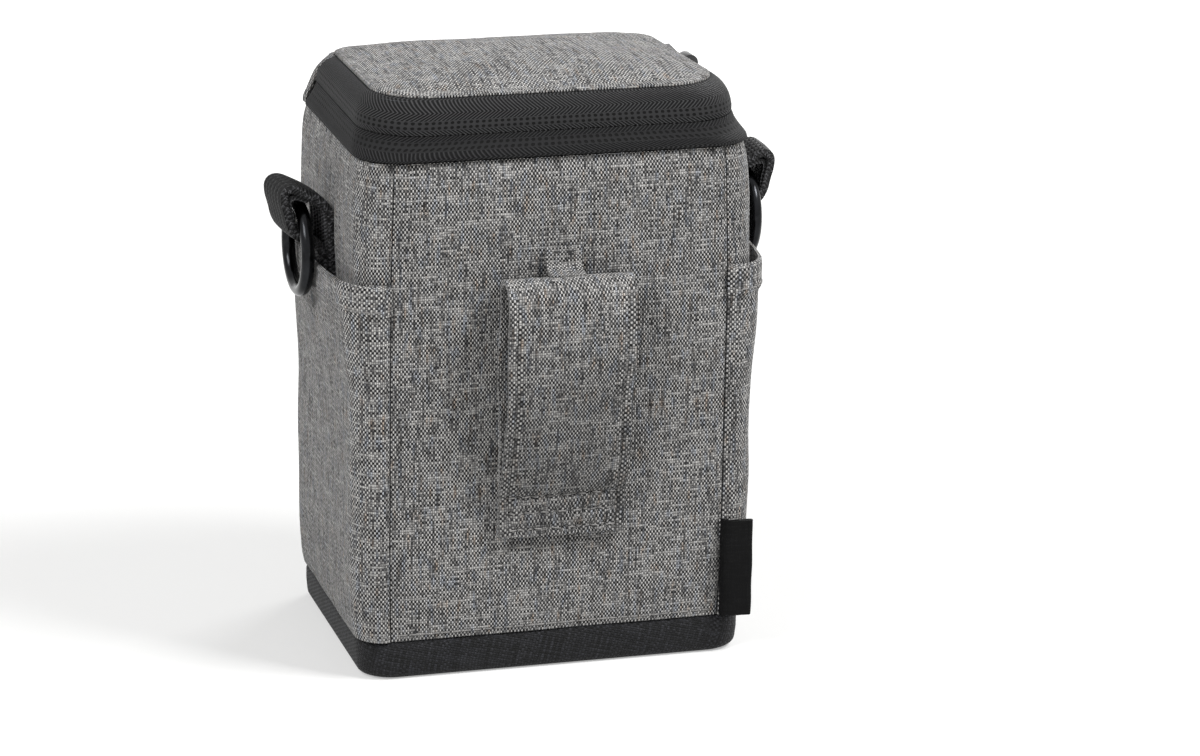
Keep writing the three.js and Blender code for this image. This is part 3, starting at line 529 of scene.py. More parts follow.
# Damask satin of a woven label: dense black, slightly shiny across the tab
labelSatin = wovenCloth("woven label satin", {
    "surface": {"Roughness": 0.6, "Specular IOR Level": 0.1, "Sheen Weight": 0.01, "Sheen Roughness": 0.3},
    "warp": 0.5, "weft": 0.32, "turn": 0, "wander": 0.15, "wanderSize": 5,
    "slub": 0.05, "warpTone": (0.3, 0.8), "weftTone": (0.2, 0.7), "speckle": 0.15,
    "yarn": [(0.0, "#030304"), (0.6, "#0b0b0c"), (1.0, "#1a1a1b")],
    "tintSize": (10, 10), "tints": [(0.3, "#f0f0f0"), (0.7, "#ffffff")],
    "gapShade": 0.6, "relief": 0.4, "depth": 0.3,
})


def zipTapeTwill(name, look):
    # herringbone twill, with the coil's sewing drawn as two rows of small sunk squares beside the zip line,
    # their near-black a painted shade
    material, tree, shader = newFinish(name, look["surface"])
    onTape = addNode(tree, "TexCoord").outputs["UV"]
    inMm = addNode(tree, "VectorMath", {"operation": "SCALE", "Scale": 1 / mm}, {0: onTape})
    x, y = addNode(tree, "SeparateXYZ", None, {"Vector": inMm}).outputs[:2]
    zigzag = addNode(tree, "Math", {"operation": "PINGPONG", 1: look["herringbone"]}, {0: y})
    slant = addNode(tree, "Math", {"operation": "MULTIPLY_ADD", 1: look["slant"]}, {0: zigzag, 2: x})
    ribPlace = addNode(tree, "CombineXYZ", None, {"X": slant, "Y": y})
    rib = addNode(tree, "TexWave",
                  {"Scale": oneWave / look["rib"], "Distortion": 0.6, "Detail": 1.0, "Detail Scale": 2.0},
                  {"Vector": ribPlace})
    fibre = addNode(tree, "TexNoise", {"Scale": 1 / look["fibre"], "Detail": 2.0}, {"Vector": inMm})

    # the sewing's two rows, at the same distance above and below the zip line
    away = addNode(tree, "Math", {"operation": "ABSOLUTE"}, {0: y})
    rows = addNode(tree, "CombineXYZ", None, {"X": x, "Y": away})
    alongRow = addNode(tree, "TexWave", {"Scale": oneWave / look["holePitch"]}, {"Vector": rows})
    shifted = addNode(tree, "VectorMath", {"operation": "SUBTRACT", 1: (0, look["rowStart"], 0)}, {0: rows})
    acrossRow = addNode(tree, "TexWave", {"bands_direction": "Y", "Scale": oneWave / look["rowPitch"]},
                        {"Vector": shifted})
    rowMiddle = look["rowStart"] + look["rowPitch"]
    inRows = addNode(tree, "Math", {"operation": "COMPARE", 1: rowMiddle, 2: look["rowPitch"]}, {0: away})
    both = addNode(tree, "Math", {"operation": "MULTIPLY"},
                   {0: alongRow.outputs["Fac"], 1: acrossRow.outputs["Fac"]})
    soft, full = look["holeEdge"]
    sharp = addNode(tree, "MapRange",
                    {"interpolation_type": "SMOOTHSTEP", "From Min": soft, "From Max": full},
                    {"Value": both})
    holes = addNode(tree, "Math", {"operation": "MULTIPLY"}, {0: sharp, 1: inRows})
    mixed = addNode(tree, "Math",
                    {"operation": "MULTIPLY_ADD", 1: look["fibreTone"], 2: look["darker"]}, {0: fibre})
    tone = addNode(tree, "Math", {"operation": "MULTIPLY_ADD", 1: look["ribTone"]},
                   {0: rib.outputs["Fac"], 2: mixed})
    plain = addNode(tree, "Mix", {"data_type": "FLOAT", 3: look["ground"]}, {0: inRows, 2: tone})
    yarn = addNode(tree, "ValToRGB", {"stops": look["yarn"]}, {"Fac": plain})
    # the sewing holes are painted near-black: painted shade in the holes
    holeShaded = addNode(tree, "Mix", {"data_type": "RGBA", colourB: linear(look["hole"])},
                   {0: holes, colourA: yarn})
    height = addNode(tree, "Math", {"operation": "SUBTRACT"}, {0: plain, 1: holes})
    wearFinish(tree, shader, holeShaded.outputs[colourOut], height, look["relief"], look["depth"])
    return material


# Polyester zip tape: close herringbone ribs, charcoal, with a dull sheen on the ribs
tapeLook = {
    "surface": {"Roughness": 0.72, "Specular IOR Level": 0.15, "Sheen Weight": 0.02, "Sheen Roughness": 0.4},
    "herringbone": 3.1, "slant": 1.6, "rib": 1.35, "fibre": 0.25,
    "holePitch": 2.0, "rowStart": 1.55, "rowPitch": 1.35, "hole": "#020202", "ground": 0.66,
    "yarn": [(0.2, "#030304"), (0.5, "#121213"), (0.9, "#474748")],
    "ribTone": 0.75, "fibreTone": 0.45, "darker": -0.1, "holeEdge": (0.28, 0.5), "relief": 1.0, "depth": 0.25,
}
charcoalTape = zipTapeTwill("polyester zip tape, herringbone", tapeLook)

# The body's half of it: darker, a painted shade for how it hangs under the lid's half out of the light
shadedLowerTape = zipTapeTwill("polyester zip tape, lower half", {
    **tapeLook, "yarn": [(0.2, "#020203"), (0.5, "#0c0c0d"), (0.9, "#343435")]})


# Polypropylene webbing: black, with raised ribs whose thin light is partly the shader's gloss and partly a
# painted highlight on their tops, with painted shade between them
webbingLook = {
    "surface": {"Roughness": 0.55, "Specular IOR Level": 0.25, "Sheen Weight": 0.02},
    "rib": 3.3, "pick": 1.1, "slant": 0.8, "fibre": 0.4,
    "yarn": [(0.1, "#040405"), (0.45, "#101011"), (0.95, "#6c6c6f")],
    "pickHeight": 0.5, "relief": 1.0, "depth": 0.35,
}


def ribbedWebbing(name, look):
    # ribs run along the webbing, V, and the weft shows as a fine zigzag across it
    material, tree, shader = newFinish(name, look["surface"])
    onWebbing = addNode(tree, "TexCoord").outputs["UV"]
    inMm = addNode(tree, "VectorMath", {"operation": "SCALE", "Scale": 1 / mm}, {0: onWebbing})
    rib = addNode(tree, "TexWave", {"Scale": oneWave / look["rib"], "Distortion": 0.3}, {"Vector": inMm})
    x, y = addNode(tree, "SeparateXYZ", None, {"Vector": inMm}).outputs[:2]
    zigzag = addNode(tree, "Math", {"operation": "PINGPONG", 1: look["rib"] / 2}, {0: x})
    slant = addNode(tree, "Math", {"operation": "MULTIPLY_ADD", 1: look["slant"]}, {0: zigzag, 2: y})
    pickPlace = addNode(tree, "CombineXYZ", None, {"X": slant})
    pick = addNode(tree, "TexWave", {"Scale": oneWave / look["pick"], "Distortion": 0.5},
                   {"Vector": pickPlace})
    fibre = addNode(tree, "TexNoise", {"Scale": 1 / look["fibre"], "Detail": 2.0}, {"Vector": inMm})
    height = addNode(tree, "Math", {"operation": "MULTIPLY_ADD", 1: look["pickHeight"]},
                     {0: pick.outputs["Fac"], 2: rib.outputs["Fac"]})
    # the colour follows the ribs' height: painted highlight on their tops and painted shade in the valleys
    tone = addNode(tree, "Math", {"operation": "MULTIPLY"}, {0: height, 1: fibre})
    yarn = addNode(tree, "ValToRGB", {"stops": look["yarn"]}, {"Fac": tone})
    wearFinish(tree, shader, yarn, height, look["relief"], look["depth"])
    return material


blackWebbing = ribbedWebbing("polypropylene webbing, ribbed", webbingLook)


def solidFinish(name, surface, look):
    # a moulded, foamed, plated or spun surface: two grains of noise give its colour, gloss and relief
    material, tree, shader = newFinish(name, surface)
    inPiece = addNode(tree, "TexCoord").outputs["Object"]
    kind, settings = ("TexVoronoi", {}) if look["grain"] == "cells" else ("TexNoise", {"Detail": 3.0})
    fine = addNode(tree, kind, {"Scale": 1 / (look["fine"] * mm), **settings}, {"Vector": inPiece})
    broad = addNode(tree, "TexNoise", {"Scale": 1 / (look["broad"] * mm), "Detail": 4.0}, {"Vector": inPiece})
    tone = addNode(tree, "Math", {"operation": "MULTIPLY_ADD", 1: look["fineShare"]}, {0: fine, 2: broad})
    colour = addNode(tree, "ValToRGB", {"stops": look["colours"]}, {"Fac": tone})
    smoothest, roughest = look["roughness"]
    dull = addNode(tree, "MapRange", {**roughBand, "To Min": smoothest, "To Max": roughest},
                   {"Value": broad})
    join(tree, shader, {"Roughness": dull})
    wearFinish(tree, shader, colour, fine, look["relief"], look["depth"])
    return material


# Plated steel wire: gunmetal black, mirror-like with faint handling marks
gunmetalPlate = solidFinish("plated steel wire, gunmetal", {"Metallic": 1.0}, {
    "grain": "noise", "fine": 0.6, "broad": 5, "fineShare": 0.2, "roughness": (0.14, 0.24),
    "colours": [(0.35, "#1a1a1b"), (0.8, "#2d2e30")], "relief": 0.05, "depth": 0.05,
})

# Zinc die casting under black lacquer: a soft-edged gloss with a clear top coat
blackLacquer = solidFinish(
    "lacquered zinc die casting", {"Metallic": 0.4, "Coat Weight": 0.5, "Coat Roughness": 0.12}, {
        "grain": "noise", "fine": 0.8, "broad": 4, "fineShare": 0.2, "roughness": (0.25, 0.42),
        "colours": [(0.35, "#0e0e0f"), (0.8, "#1e1e20")], "relief": 0.08, "depth": 0.05,
    })

# Nylon monofilament of the zip coil: smooth, slightly glossy, in a pale grey that partly stands in for the
# glints on its heads in the slit, a painted highlight, and otherwise varies at random
coilNylon = solidFinish("nylon monofilament coil", {"Specular IOR Level": 0.5}, {
    "grain": "noise", "fine": 0.5, "broad": 3, "fineShare": 0.2, "roughness": (0.3, 0.42),
    "colours": [(0.3, "#4a4a4b"), (0.8, "#8d8d8c")], "relief": 0.05, "depth": 0.05,
})

# Closed-cell foam: matt, with fine skinned cells
closedCellFoam = solidFinish("closed-cell foam", {"Specular IOR Level": 0.2}, {
    "grain": "cells", "fine": 1.1, "broad": 14, "fineShare": 0.6, "roughness": (0.85, 0.95),
    "colours": [(0.3, "#38393c"), (1.0, "#56585c")], "relief": 0.5, "depth": 0.2,
})

# Extruded polyethylene stiffener: black sheet with a fine pebbled texture
stiffenerSheet = solidFinish("extruded polyethylene stiffener", {"Specular IOR Level": 0.4}, {
    "grain": "cells", "fine": 0.9, "broad": 18, "fineShare": 0.3, "roughness": (0.5, 0.68),
    "colours": [(0.3, "#161617"), (1.0, "#262628")], "relief": 0.5, "depth": 0.1,
})

# Spun polyester sewing thread: matt, a shade off the cloth that it is sewn through
threadFinish = {"grain": "noise", "fine": 0.3, "broad": 6, "fineShare": 0.6, "relief": 0.4, "depth": 0.08}
greyThread = solidFinish("spun polyester thread, grey", {"Sheen Weight": 0.1}, {
    **threadFinish, "colours": [(0.4, "#4d4c4c"), (1.1, "#9a9896")], "roughness": (0.75, 0.9)})
blackThread = solidFinish("spun polyester thread, black", {"Sheen Weight": 0.1}, {
    **threadFinish, "colours": [(0.4, "#151516"), (1.1, "#3a3a3b")], "roughness": (0.7, 0.85)})
print("finishes made")


# The panels: cloth that swells over its padding and is drawn in at the seams

panelLook = {
    "thickness": 0.9, "step": 1.2,
    "bulge": 0.75, "drawnIn": 0.4, "bulgeReach": 22.0, "footReach": 16.0, "topReach": 20.0,
    "seamDip": 0.8, "dipReach": 1.7, "footDip": 0.6,
    "shoulder": 1.2, "shoulderReach": 3.4,
    "pucker": 0.16, "puckerPitch": 5.3, "puckerReach": 6.0, "puckerWander": 1.3,
    "unevenness": 0.16, "unevenSize": 30,
}


def panelOut(distance, height, start, end, seed):
    look = panelLook
    fromSide = np.minimum(distance - start, end - distance)
    fromFoot = height - panelLow
    fromTop = panelTopAt(distance) - halfSeam - height
    pillow = (smooth(fromSide, -4, look["bulgeReach"]) * smooth(fromFoot, -4, look["footReach"])
              * smooth(fromTop, -3, look["topReach"]))
    dip = np.maximum(fade(fromSide, look["dipReach"]), look["footDip"] * fade(fromFoot, look["dipReach"]))
    nearSeam = np.maximum(fade(fromSide, look["puckerReach"]), fade(fromTop, look["puckerReach"]))
    along = np.where(fromSide < fromTop, height, distance)
    wander = look["puckerWander"] * ripple(distance, height, 17, seed + 1)
    pucker = np.cos(2 * math.pi * along / look["puckerPitch"] + wander)
    return (look["bulge"] * pillow - look["drawnIn"] - look["seamDip"] * dip
            - look["shoulder"] * fade(fromTop, look["shoulderReach"])
            + look["pucker"] * pucker * nearSeam * (1 - dip)
            + look["unevenness"] * ripple(distance, height, look["unevenSize"], seed) * (1 - nearSeam))


def makePanel(name, start, end, seed):
    start, end = start + halfSeam, end - halfSeam
    length, tall = end - start, body["panelTop"] - body["baseBand"]

    def shape(u, v):
        distance = start + length * u
        height = panelLow + (panelTopAt(distance) - halfSeam - panelLow) * v
        return wallPoints(distance, height, panelOut(distance, height, start, end, seed))
    piece = gridSheet(name + "_cloth", round(length / panelLook["step"]), round(tall / panelLook["step"]),
                      shape, (length, tall), thickness=panelLook["thickness"])
    settle(piece, heatherPolyester, "heather_fabric", "body", name)
    return shape


rearSeam, frontSeam = milestones[1], milestones[4]
backShape = makePanel("back_panel", -rearSeam, rearSeam, 3)
makePanel("front_panel", frontSeam, 2 * halfRound - frontSeam, 11)
makePanel("right_side_panel", rearSeam, frontSeam, 5)
makePanel("left_side_panel", -frontSeam, -rearSeam, 8)
print("panels made")


# The side pockets: flat on the panel below, standing off it towards the hemmed mouth

pocketLook = {
    "top": 119.5, "thickness": 0.8, "step": 1.3, "off": 1.05, "sideDip": 0.7,
    "slack": 5.0, "slackDepth": 50.0, "folds": 0.35, "foldSize": 24,
    "hem": 9.0, "hemStep": 0.9, "fold": 0.85, "hemStitch": 7.6, "stitchEnd": 2.4, "hemRows": 12,
}


def pocketShape(start, end, seed):
    look = pocketLook
    fold, rise = look["fold"], look["top"] - panelLow
    path = np.array([(0, 0), (0, rise - fold)]
                    + [(fold * (math.cos(turn) - 1), rise - fold * (1 - math.sin(turn)))
                       for turn in np.linspace(0, math.pi, 9)[1:]]
                    + [(-2 * fold, rise - look["hem"])])

    def shape(u, v):
        distance = start + (end - start) * u
        inward, climb = pathAt(path, v)
        height = panelLow + climb
        gape = np.sin(math.pi * u) ** 0.9 * smooth(height, look["top"] - look["slackDepth"], look["top"] + 2)
        hem = smooth(height, look["top"] - look["hem"] - 1, look["top"] - look["hem"] + 1)
        fromSide = np.minimum(distance - start, end - distance)
        folds = look["folds"] * ripple(distance, height * 0.6, look["foldSize"], seed + 5) * gape
        out = (panelOut(distance, height, start, end, seed) + look["off"] + look["slack"] * gape + folds
               + (look["hemStep"] * hem + inward) * smooth(fromSide, 0.5, 3)
               - look["sideDip"] * fade(fromSide, 1.2))
        return wallPoints(distance, height, out)
    return shape, reachOf(path)[-1]


def makePocket(side, start, end, seed):
    look = pocketLook
    start, end = start + halfSeam, end - halfSeam
    shape, tall = pocketShape(start, end, seed)
    length = end - start
    piece = gridSheet(side + "_slip_pocket_cloth", round(length / look["step"]),
                      round(tall / look["step"]) + look["hemRows"], shape, (length, tall),
                      thickness=look["thickness"])
    settle(piece, heatherPolyester, "heather_fabric", "body", side + "_slip_pocket")
    hemLine = (look["top"] - look["hemStitch"] - body["baseBand"]) / tall
    edge = look["stitchEnd"] / length
    return lineOn(shape, (edge, hemLine), (1 - edge, hemLine), 0.1)


leftHem = makePocket("left", -frontSeam, -rearSeam, 8)
rightHem = makePocket("right", rearSeam, frontSeam, 5)
print("pockets made")


# Round pieces: a square grid whose rings follow the outline

def ringPlace(u, v, marks=milestones):
    a, b = 2 * u - 1, 2 * v - 1
    share = np.maximum(np.abs(a), np.abs(b))
    safe = np.where(share > 0, share, 1)
    rear = (marks[1] + marks[2]) / 2
    front = (marks[3] + marks[4]) / 2
    side = np.where(a < 0, -1.0, 1.0)
    distance = np.select(
        [np.isclose(b, -share), np.isclose(np.abs(a), share)],
        [a / safe * rear, side * (rear + (b / safe + 1) / 2 * (front - rear))],
        side * (marks[-1] - np.abs(a) / safe * (marks[-1] - front)))
    return share, distance


def noLift(distance, height):
    return 0 * distance


def makeRound(name, look, rim, crown, centre, lift=noLift, shrink=0.0, offset=-1.0, marks=milestones):
    # rim is a path of (inset, height) from the flat middle to the edge; the middle is crowned
    flatShare = look["flatShare"]
    length = reachOf(rim)[-1]
    growth = (marks[2] - marks[1] - rearArc) * 2 / math.pi

    def shape(u, v):
        share, distance = ringPlace(u, v, marks)
        inset, height = pathAt(rim, np.clip((share - flatShare) / (1 - flatShare), 0, 1))
        x, y, nx, ny = outlineAt(distance, inset, shrink, growth, marks)
        inner = np.minimum(share / flatShare, 1)
        x, y = x * inner, y * inner
        return np.stack([x, y, height + crown(inner, x, y) + lift(distance, height)], 1)

    def weave(u, v, points, faceU, faceV):
        share, distance = ringPlace(u, v, marks)
        faceShare, faceDistance = ringPlace(faceU, faceV, marks)
        distance = faceDistance + (distance - faceDistance + marks[-1]) % (2 * marks[-1]) - marks[-1]
        onRim = faceShare > flatShare
        return (np.where(onRim, distance, points[:, 0]),
                np.where(onRim, (share - flatShare) / (1 - flatShare) * length, points[:, 1]))

    return gridSheet(name, look["count"], look["count"], shape, weave, centre, look["thickness"], offset)


baseLook = {"thickness": 1.0, "edgeDip": 0.7, "count": 150, "flatShare": 0.78}
bottom, foot = body["baseRounding"], body["footTaper"]
baseRim = np.array(
    [(foot + bottom, 0.0)]
    + [(foot + bottom * (1 - math.sin(turn)), bottom * (1 - math.cos(turn)))
       for turn in np.linspace(0, math.pi / 2, 9)[1:]]
    + [(foot - 0.25, 6.0), (foot - 0.25, 9.4), (foot + 0.05, 10.7),
       (foot + baseLook["edgeDip"], body["baseBand"])])
basePiece = makeRound("base_cover_cloth", baseLook, baseRim, lambda inner, x, y: 0 * x, (0, 0, 40))
settle(basePiece, ballisticNylon, "black_fabric", "body", "base_cover")


def drawCornersIn(pad, behind):
    # keeps padding and lining behind the cloth where the rear corners widen
    x, y, z = pointsOf(pad.data).T / mm
    radius = body["rearCorner"] + body["topCornerGrowth"] * cornerShare(z)
    aside, rearward = np.abs(x) - body["width"] / 2 + radius, back + radius - y
    reach = np.hypot(aside, rearward)
    over = (aside > 0) & (rearward > 0) & (reach > radius - behind)
    kept = np.where(over, (radius - behind) / reach, 1)
    x = np.where(over, np.sign(x) * (np.abs(x) - aside * (1 - kept)), x)
    y = np.where(over, y + rearward * (1 - kept), y)
    pad.data.vertices.foreach_set("co", (np.stack([x, y, z], 1) * mm).ravel())


liningLook = {"thickness": 0.6, "count": 150, "flatShare": 0.3, "behind": 1.6, "unevenness": 0.25}
liningRim = rounded([(9.2, 8.75), (6.95, 8.8), (6.9, 12), (7.5, 50), (7.6, 110), (7.0, 148), (6.9, 155.2),
                     (5.4, 156.0), (3.0, 156.0), (1.6, 156.3)], 2)


def liningCrown(inner, x, y):
    return liningLook["unevenness"] * ripple(x, y, 30, 21) * (1 - inner ** 4)


def liningLift(distance, height):
    return body["panelTopRise"] * forward(outlineAt(distance)[1]) * smooth(height, 120, 154)


liningPiece = makeRound("compartment_lining_cloth", liningLook, liningRim, liningCrown, (0, 0, 80),
                        liningLift, offset=1.0)
drawCornersIn(liningPiece, liningLook["behind"])
settle(liningPiece, liningTaffeta, "lining_fabric", "body", "compartment_lining")

lidLook = {
    "count": 132, "flatShare": 0.93, "thickness": 0.9, "seam": 171.6, "edge": 7.95, "shrink": 1.0,
    "crown": 4.9, "power": 2.4, "unevenness": 0.14, "pucker": 0.8, "puckerPitch": 5.1,
}
lidRim = rounded([(lidLook["edge"] + inward, lidLook["seam"] + rise)
                  for inward, rise in ((2.6, 0.95), (1.2, 0.75), (0.25, 0.3), (0.35, -0.3))], 2)


def lidCrown(inner, x, y):
    look = lidLook
    puckers = np.cos(2 * math.pi * (x + y) / look["puckerPitch"]) * inner ** 8 * (1 - inner)
    return (look["crown"] * (1 - inner ** look["power"]) + look["pucker"] * puckers
            + look["unevenness"] * ripple(x, y, 30, 31) * (1 - inner ** 6))


lidPiece = makeRound("lid_panel_cloth", lidLook, lidRim, lidCrown, (0, 0, 120), shrink=lidLook["shrink"],
                     marks=zipMilestones)
settle(lidPiece, heatherPolyester, "heather_fabric", "lid", "lid_panel")

lidLiningLook = {
    "count": 110, "flatShare": 0.88, "thickness": 0.5, "shrink": 2.0, "unevenness": 0.2, "dish": 0.3,
}
lidLiningRim = rounded([(13.5, 165.75), (11.0, 165.9), (9.8, 167.2), (9.3, 169.6), (7.0, 169.8)], 2)


def lidLiningCrown(inner, x, y):
    look = lidLiningLook
    return look["unevenness"] * ripple(x, y, 28, 41) * (1 - inner ** 4) + look["dish"] * inner ** 6


lidLiningPiece = makeRound("lid_lining_cloth", lidLiningLook, lidLiningRim, lidLiningCrown, (0, 0, 180),
                           shrink=lidLiningLook["shrink"], marks=zipMilestones)
settle(lidLiningPiece, liningTaffeta, "lining_fabric", "lid", "lid_lining")
print("base, lid and linings made")


# Foam: copies of the solids, remeshed so that their edges are soft

foamLook = {"merge": 0.01, "voxel": 1.3, "smoothing": 6, "behind": 2.4}


def makeFoam(node, bodyName):
    pad = copyOfSolid(node, node + "_pad", foamLook["merge"])
    modify(pad, "REMESH", mode="VOXEL", voxel_size=foamLook["voxel"] * mm)
    modify(pad, "SMOOTH", factor=0.5, iterations=foamLook["smoothing"])
    if bodyName == "body":
        drawCornersIn(pad, foamLook["behind"])
    finishShading(pad, 60)
    settle(pad, closedCellFoam, "foam", bodyName, node)


for side in ("back", "front", "left_side", "right_side", "base"):
    makeFoam(side + "_foam", "body")
makeFoam("lid_foam", "lid")
board = bpy.data.objects["base_board"].data
board.materials.clear()
board.materials.append(stiffenerSheet)
print("padding made")


# The zip: two tapes curled in at the slit, and two coils whose turns mesh between them

zipLook = {
    "tapeThickness": 0.7, "tapeStep": 1.6, "tapeRows": 26, "unevenness": 0.1, "tuck": 1.0, "tuckDepth": 2.2,
    "pitch": 2.0, "perTurn": 10, "wire": 0.62, "reach": 3.0, "coilThickness": 1.5, "coilDepth": 0.75,
    "squareness": 0.7, "headForward": (0.95, 0.38), "pastSlit": 0.2, "coilShort": 2.0,
}
tapeEnd = zipEnd + zipLook["tuck"]


def tapeShape(path, lowAt, highAt):
    # the path runs in (inset, share of the height between the two seams, share of the corner's growth)
    def shape(u, v):
        distance = tapeEnd * (2 * u - 1)
        inset, share, growth = pathAt(path, v)
        x, y, nx, ny = zipOutline(distance, inset, 0, growth)
        low, high = lowAt(distance), highAt(distance)
        tucked = smooth(np.abs(distance), zipEnd - 1.5 * zipLook["tuck"], tapeEnd)
        loose = zipLook["unevenness"] * np.sin(math.pi * np.clip(share, 0, 1))
        wave = loose * ripple(distance, 9 * share, 23, 91) - zipLook["tuckDepth"] * tucked
        return np.stack([x + nx * wave, y + ny * wave, low + (high - low) * share], 1)
    return shape


def lidSeamAt(distance):
    return body["lidSeam"] + 0 * distance


lowerPath = rounded([(2.8, 0.0, 0.5), (1.6, 0.0, 0.5), (0.6, 0.02, 0.5), (0.0, 0.09, 0.52), (0.5, 0.26, 0.66),
                     (1.6, 0.5, 0.9), (2.5, 0.78, 1), (2.85, 0.965, 1), (3.0, 0.985, 1), (3.6, 0.98, 1),
                     (4.7, 0.92, 1)], 3)
upperPath = rounded([(4.7, 0.05, 1), (3.6, 0.016, 1), (3.0, 0.012, 1), (2.86, 0.03, 1), (2.95, 0.2, 1),
                     (3.5, 0.5, 1), (4.9, 0.78, 1), (6.7, 0.94, 1), (7.6, 0.985, 1), (8.2, 0.975, 1)], 3)


def makeTape(name, path, lowAt, highAt, bodyName, finish):
    def weave(u, v, points, faceU, faceV):
        distance = tapeEnd * (2 * u - 1)
        return distance, points[:, 2] - zipLineAt(distance)
    piece = gridSheet(name + "_cloth", round(2 * tapeEnd / zipLook["tapeStep"]), zipLook["tapeRows"],
                      tapeShape(path, lowAt, highAt), weave, thickness=zipLook["tapeThickness"])
    settle(piece, finish, "zip_tape", bodyName, name)


makeTape("lower_zip_tape", lowerPath, zipSeamAt, zipLineAt, "body", shadedLowerTape)
makeTape("upper_zip_tape", upperPath, zipLineAt, lidSeamAt, "lid", charcoalTape)


def makeCoil(half, bodyName, sign, shift, headForward):
    # a flattened helix: heads at the slit, legs behind the tape
    look = zipLook
    turns = int(2 * (zipEnd - look["coilShort"]) / look["pitch"])
    place = np.arange(turns * look["perTurn"]) / look["perTurn"]
    turn = 2 * math.pi * place
    distance = (place + shift - turns / 2) * look["pitch"]
    swing = np.abs(np.cos(turn)) ** look["squareness"] * np.sign(np.cos(turn))
    away = look["pastSlit"] + look["reach"] / 2 * (swing - 1)
    head = ((1 + np.cos(turn)) / 2) ** 3 * headForward
    depth = look["coilDepth"] + look["coilThickness"] / 2 * (1 - np.sin(turn)) - head
    x, y, nx, ny = zipOutline(distance, body["zipInset"] + depth)
    z = zipLineAt(distance) + sign * away
    curve = bpy.data.curves.new(half + "_zip_coil_turns", "CURVE")
    curve.dimensions = "3D"
    curve.bevel_depth = look["wire"] / 2 * mm
    curve.bevel_resolution = 1
    curve.use_fill_caps = True
    line = curve.splines.new("POLY")
    line.points.add(len(place) - 1)
    line.points.foreach_set("co", np.stack([x * mm, y * mm, z * mm, 1 + 0 * x], 1).ravel())
    choose(add(half + "_zip_coil_turns", curve))
    bpy.ops.object.convert(target="MESH")
    coil = bpy.context.object
    coil.data.shade_smooth()
    settle(coil, coilNylon, "zip_coil", bodyName, half + "_zip_coil")


makeCoil("lower", "body", 1, 0.0, zipLook["headForward"][0])
makeCoil("upper", "lid", -1, 0.5, zipLook["headForward"][1])
print("zip made")


# The hinge: one gusset of the same cloth round the front, attached to no moving body

hingeLook = {"thickness": 0.8, "step": 1.1, "rows": 22, "width": 19.5, "unevenness": 0.3, "sideDip": 0.5}
hingeLength = 2 * (zipMilestones[-1] - zipEnd)
hingePath = rounded([(2.8, 0.0, 0), (1.6, 0.0, 0), (0.6, 0.01, 0), (0.0, 0.06, 0.1), (0.75, 0.2, 0.6),
                     (2.1, 0.45, 1), (3.6, 0.68, 1), (5.6, 0.88, 1), (7.3, 0.985, 1), (8.1, 0.975, 1)], 3)


def hingeShape(u, v):
    distance = zipEnd + hingeLength * u
    inset, share, growth = pathAt(hingePath, v)
    fromSide = np.minimum(distance - zipEnd, zipEnd + hingeLength - distance)
    x, y, nx, ny = zipOutline(distance, inset, 0, growth)
    low = zipSeamAt(distance)
    loose = hingeLook["unevenness"] * np.sin(math.pi * share)
    out = loose * ripple(distance, share * 20, 16, 51) - hingeLook["sideDip"] * fade(fromSide, 1.2)
    return np.stack([x + nx * out, y + ny * out, low + (body["lidSeam"] - low) * share], 1)


hingePiece = gridSheet("hinge_cloth", round(hingeLength / hingeLook["step"]), hingeLook["rows"], hingeShape,
                       (hingeLength, hingeLook["width"]), thickness=hingeLook["thickness"])
weaveRims(hingePiece)
settle(hingePiece, heatherPolyester, "heather_fabric", None, "body_hinge_strip", "lid_hinge_strip")
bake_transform(hingePiece)
print("hinge made")


# The belt loop: a strap folded over at its top and sewn down at its foot

strapLook = {
    "width": 37.6, "thickness": 1.7, "foot": 42.4, "sewnTop": 55.0, "foldHeight": 114.65,
    "inner": 0.95, "sewn": 2.75, "outer": 11.35, "step": 0.7, "columns": 76,
    "slack": 0.4, "edgeSlack": 0.2, "unevenness": 0.15, "wavyEdge": 0.25,
    "edgeStitch": 2.6, "hemGroove": 1.0, "grooveWidth": 0.75, "rimRound": 0.45,
    "boxHalf": 15.6, "boxLow": 44.6, "boxHigh": 54.6, "rows": 3,
    "dimple": 1.3, "dimplePitch": 4.4, "dimpleReach": 1.15,
}
foldRadius = (strapLook["outer"] - strapLook["inner"]) / 2
foldMiddle = (strapLook["outer"] + strapLook["inner"]) / 2
dropCurve = [(strapLook["outer"], strapLook["foldHeight"]), (13.3, 100.0), (7.4, 63.0),
             (strapLook["sewn"], strapLook["sewnTop"])]


def bezier(corners, count):
    t = np.linspace(0, 1, count)[:, None]
    a, b, c, d = [np.array([corner], float) for corner in corners]
    return a * (1 - t) ** 3 + 3 * b * t * (1 - t) ** 2 + 3 * c * t ** 2 * (1 - t) + d * t ** 3


strapPath = np.vstack([
    [(strapLook["inner"], strapLook["foot"]), (strapLook["inner"], strapLook["foldHeight"])],
    [(foldMiddle - foldRadius * math.cos(turn), strapLook["foldHeight"] + foldRadius * math.sin(turn))
     for turn in np.linspace(0, math.pi, 15)[1:]],
    bezier(dropCurve, 30)[1:],
    [(strapLook["sewn"], strapLook["foot"])],
])
strapLength = reachOf(strapPath)[-1]
sewnShare = (strapLook["sewnTop"] - strapLook["foot"]) / strapLength


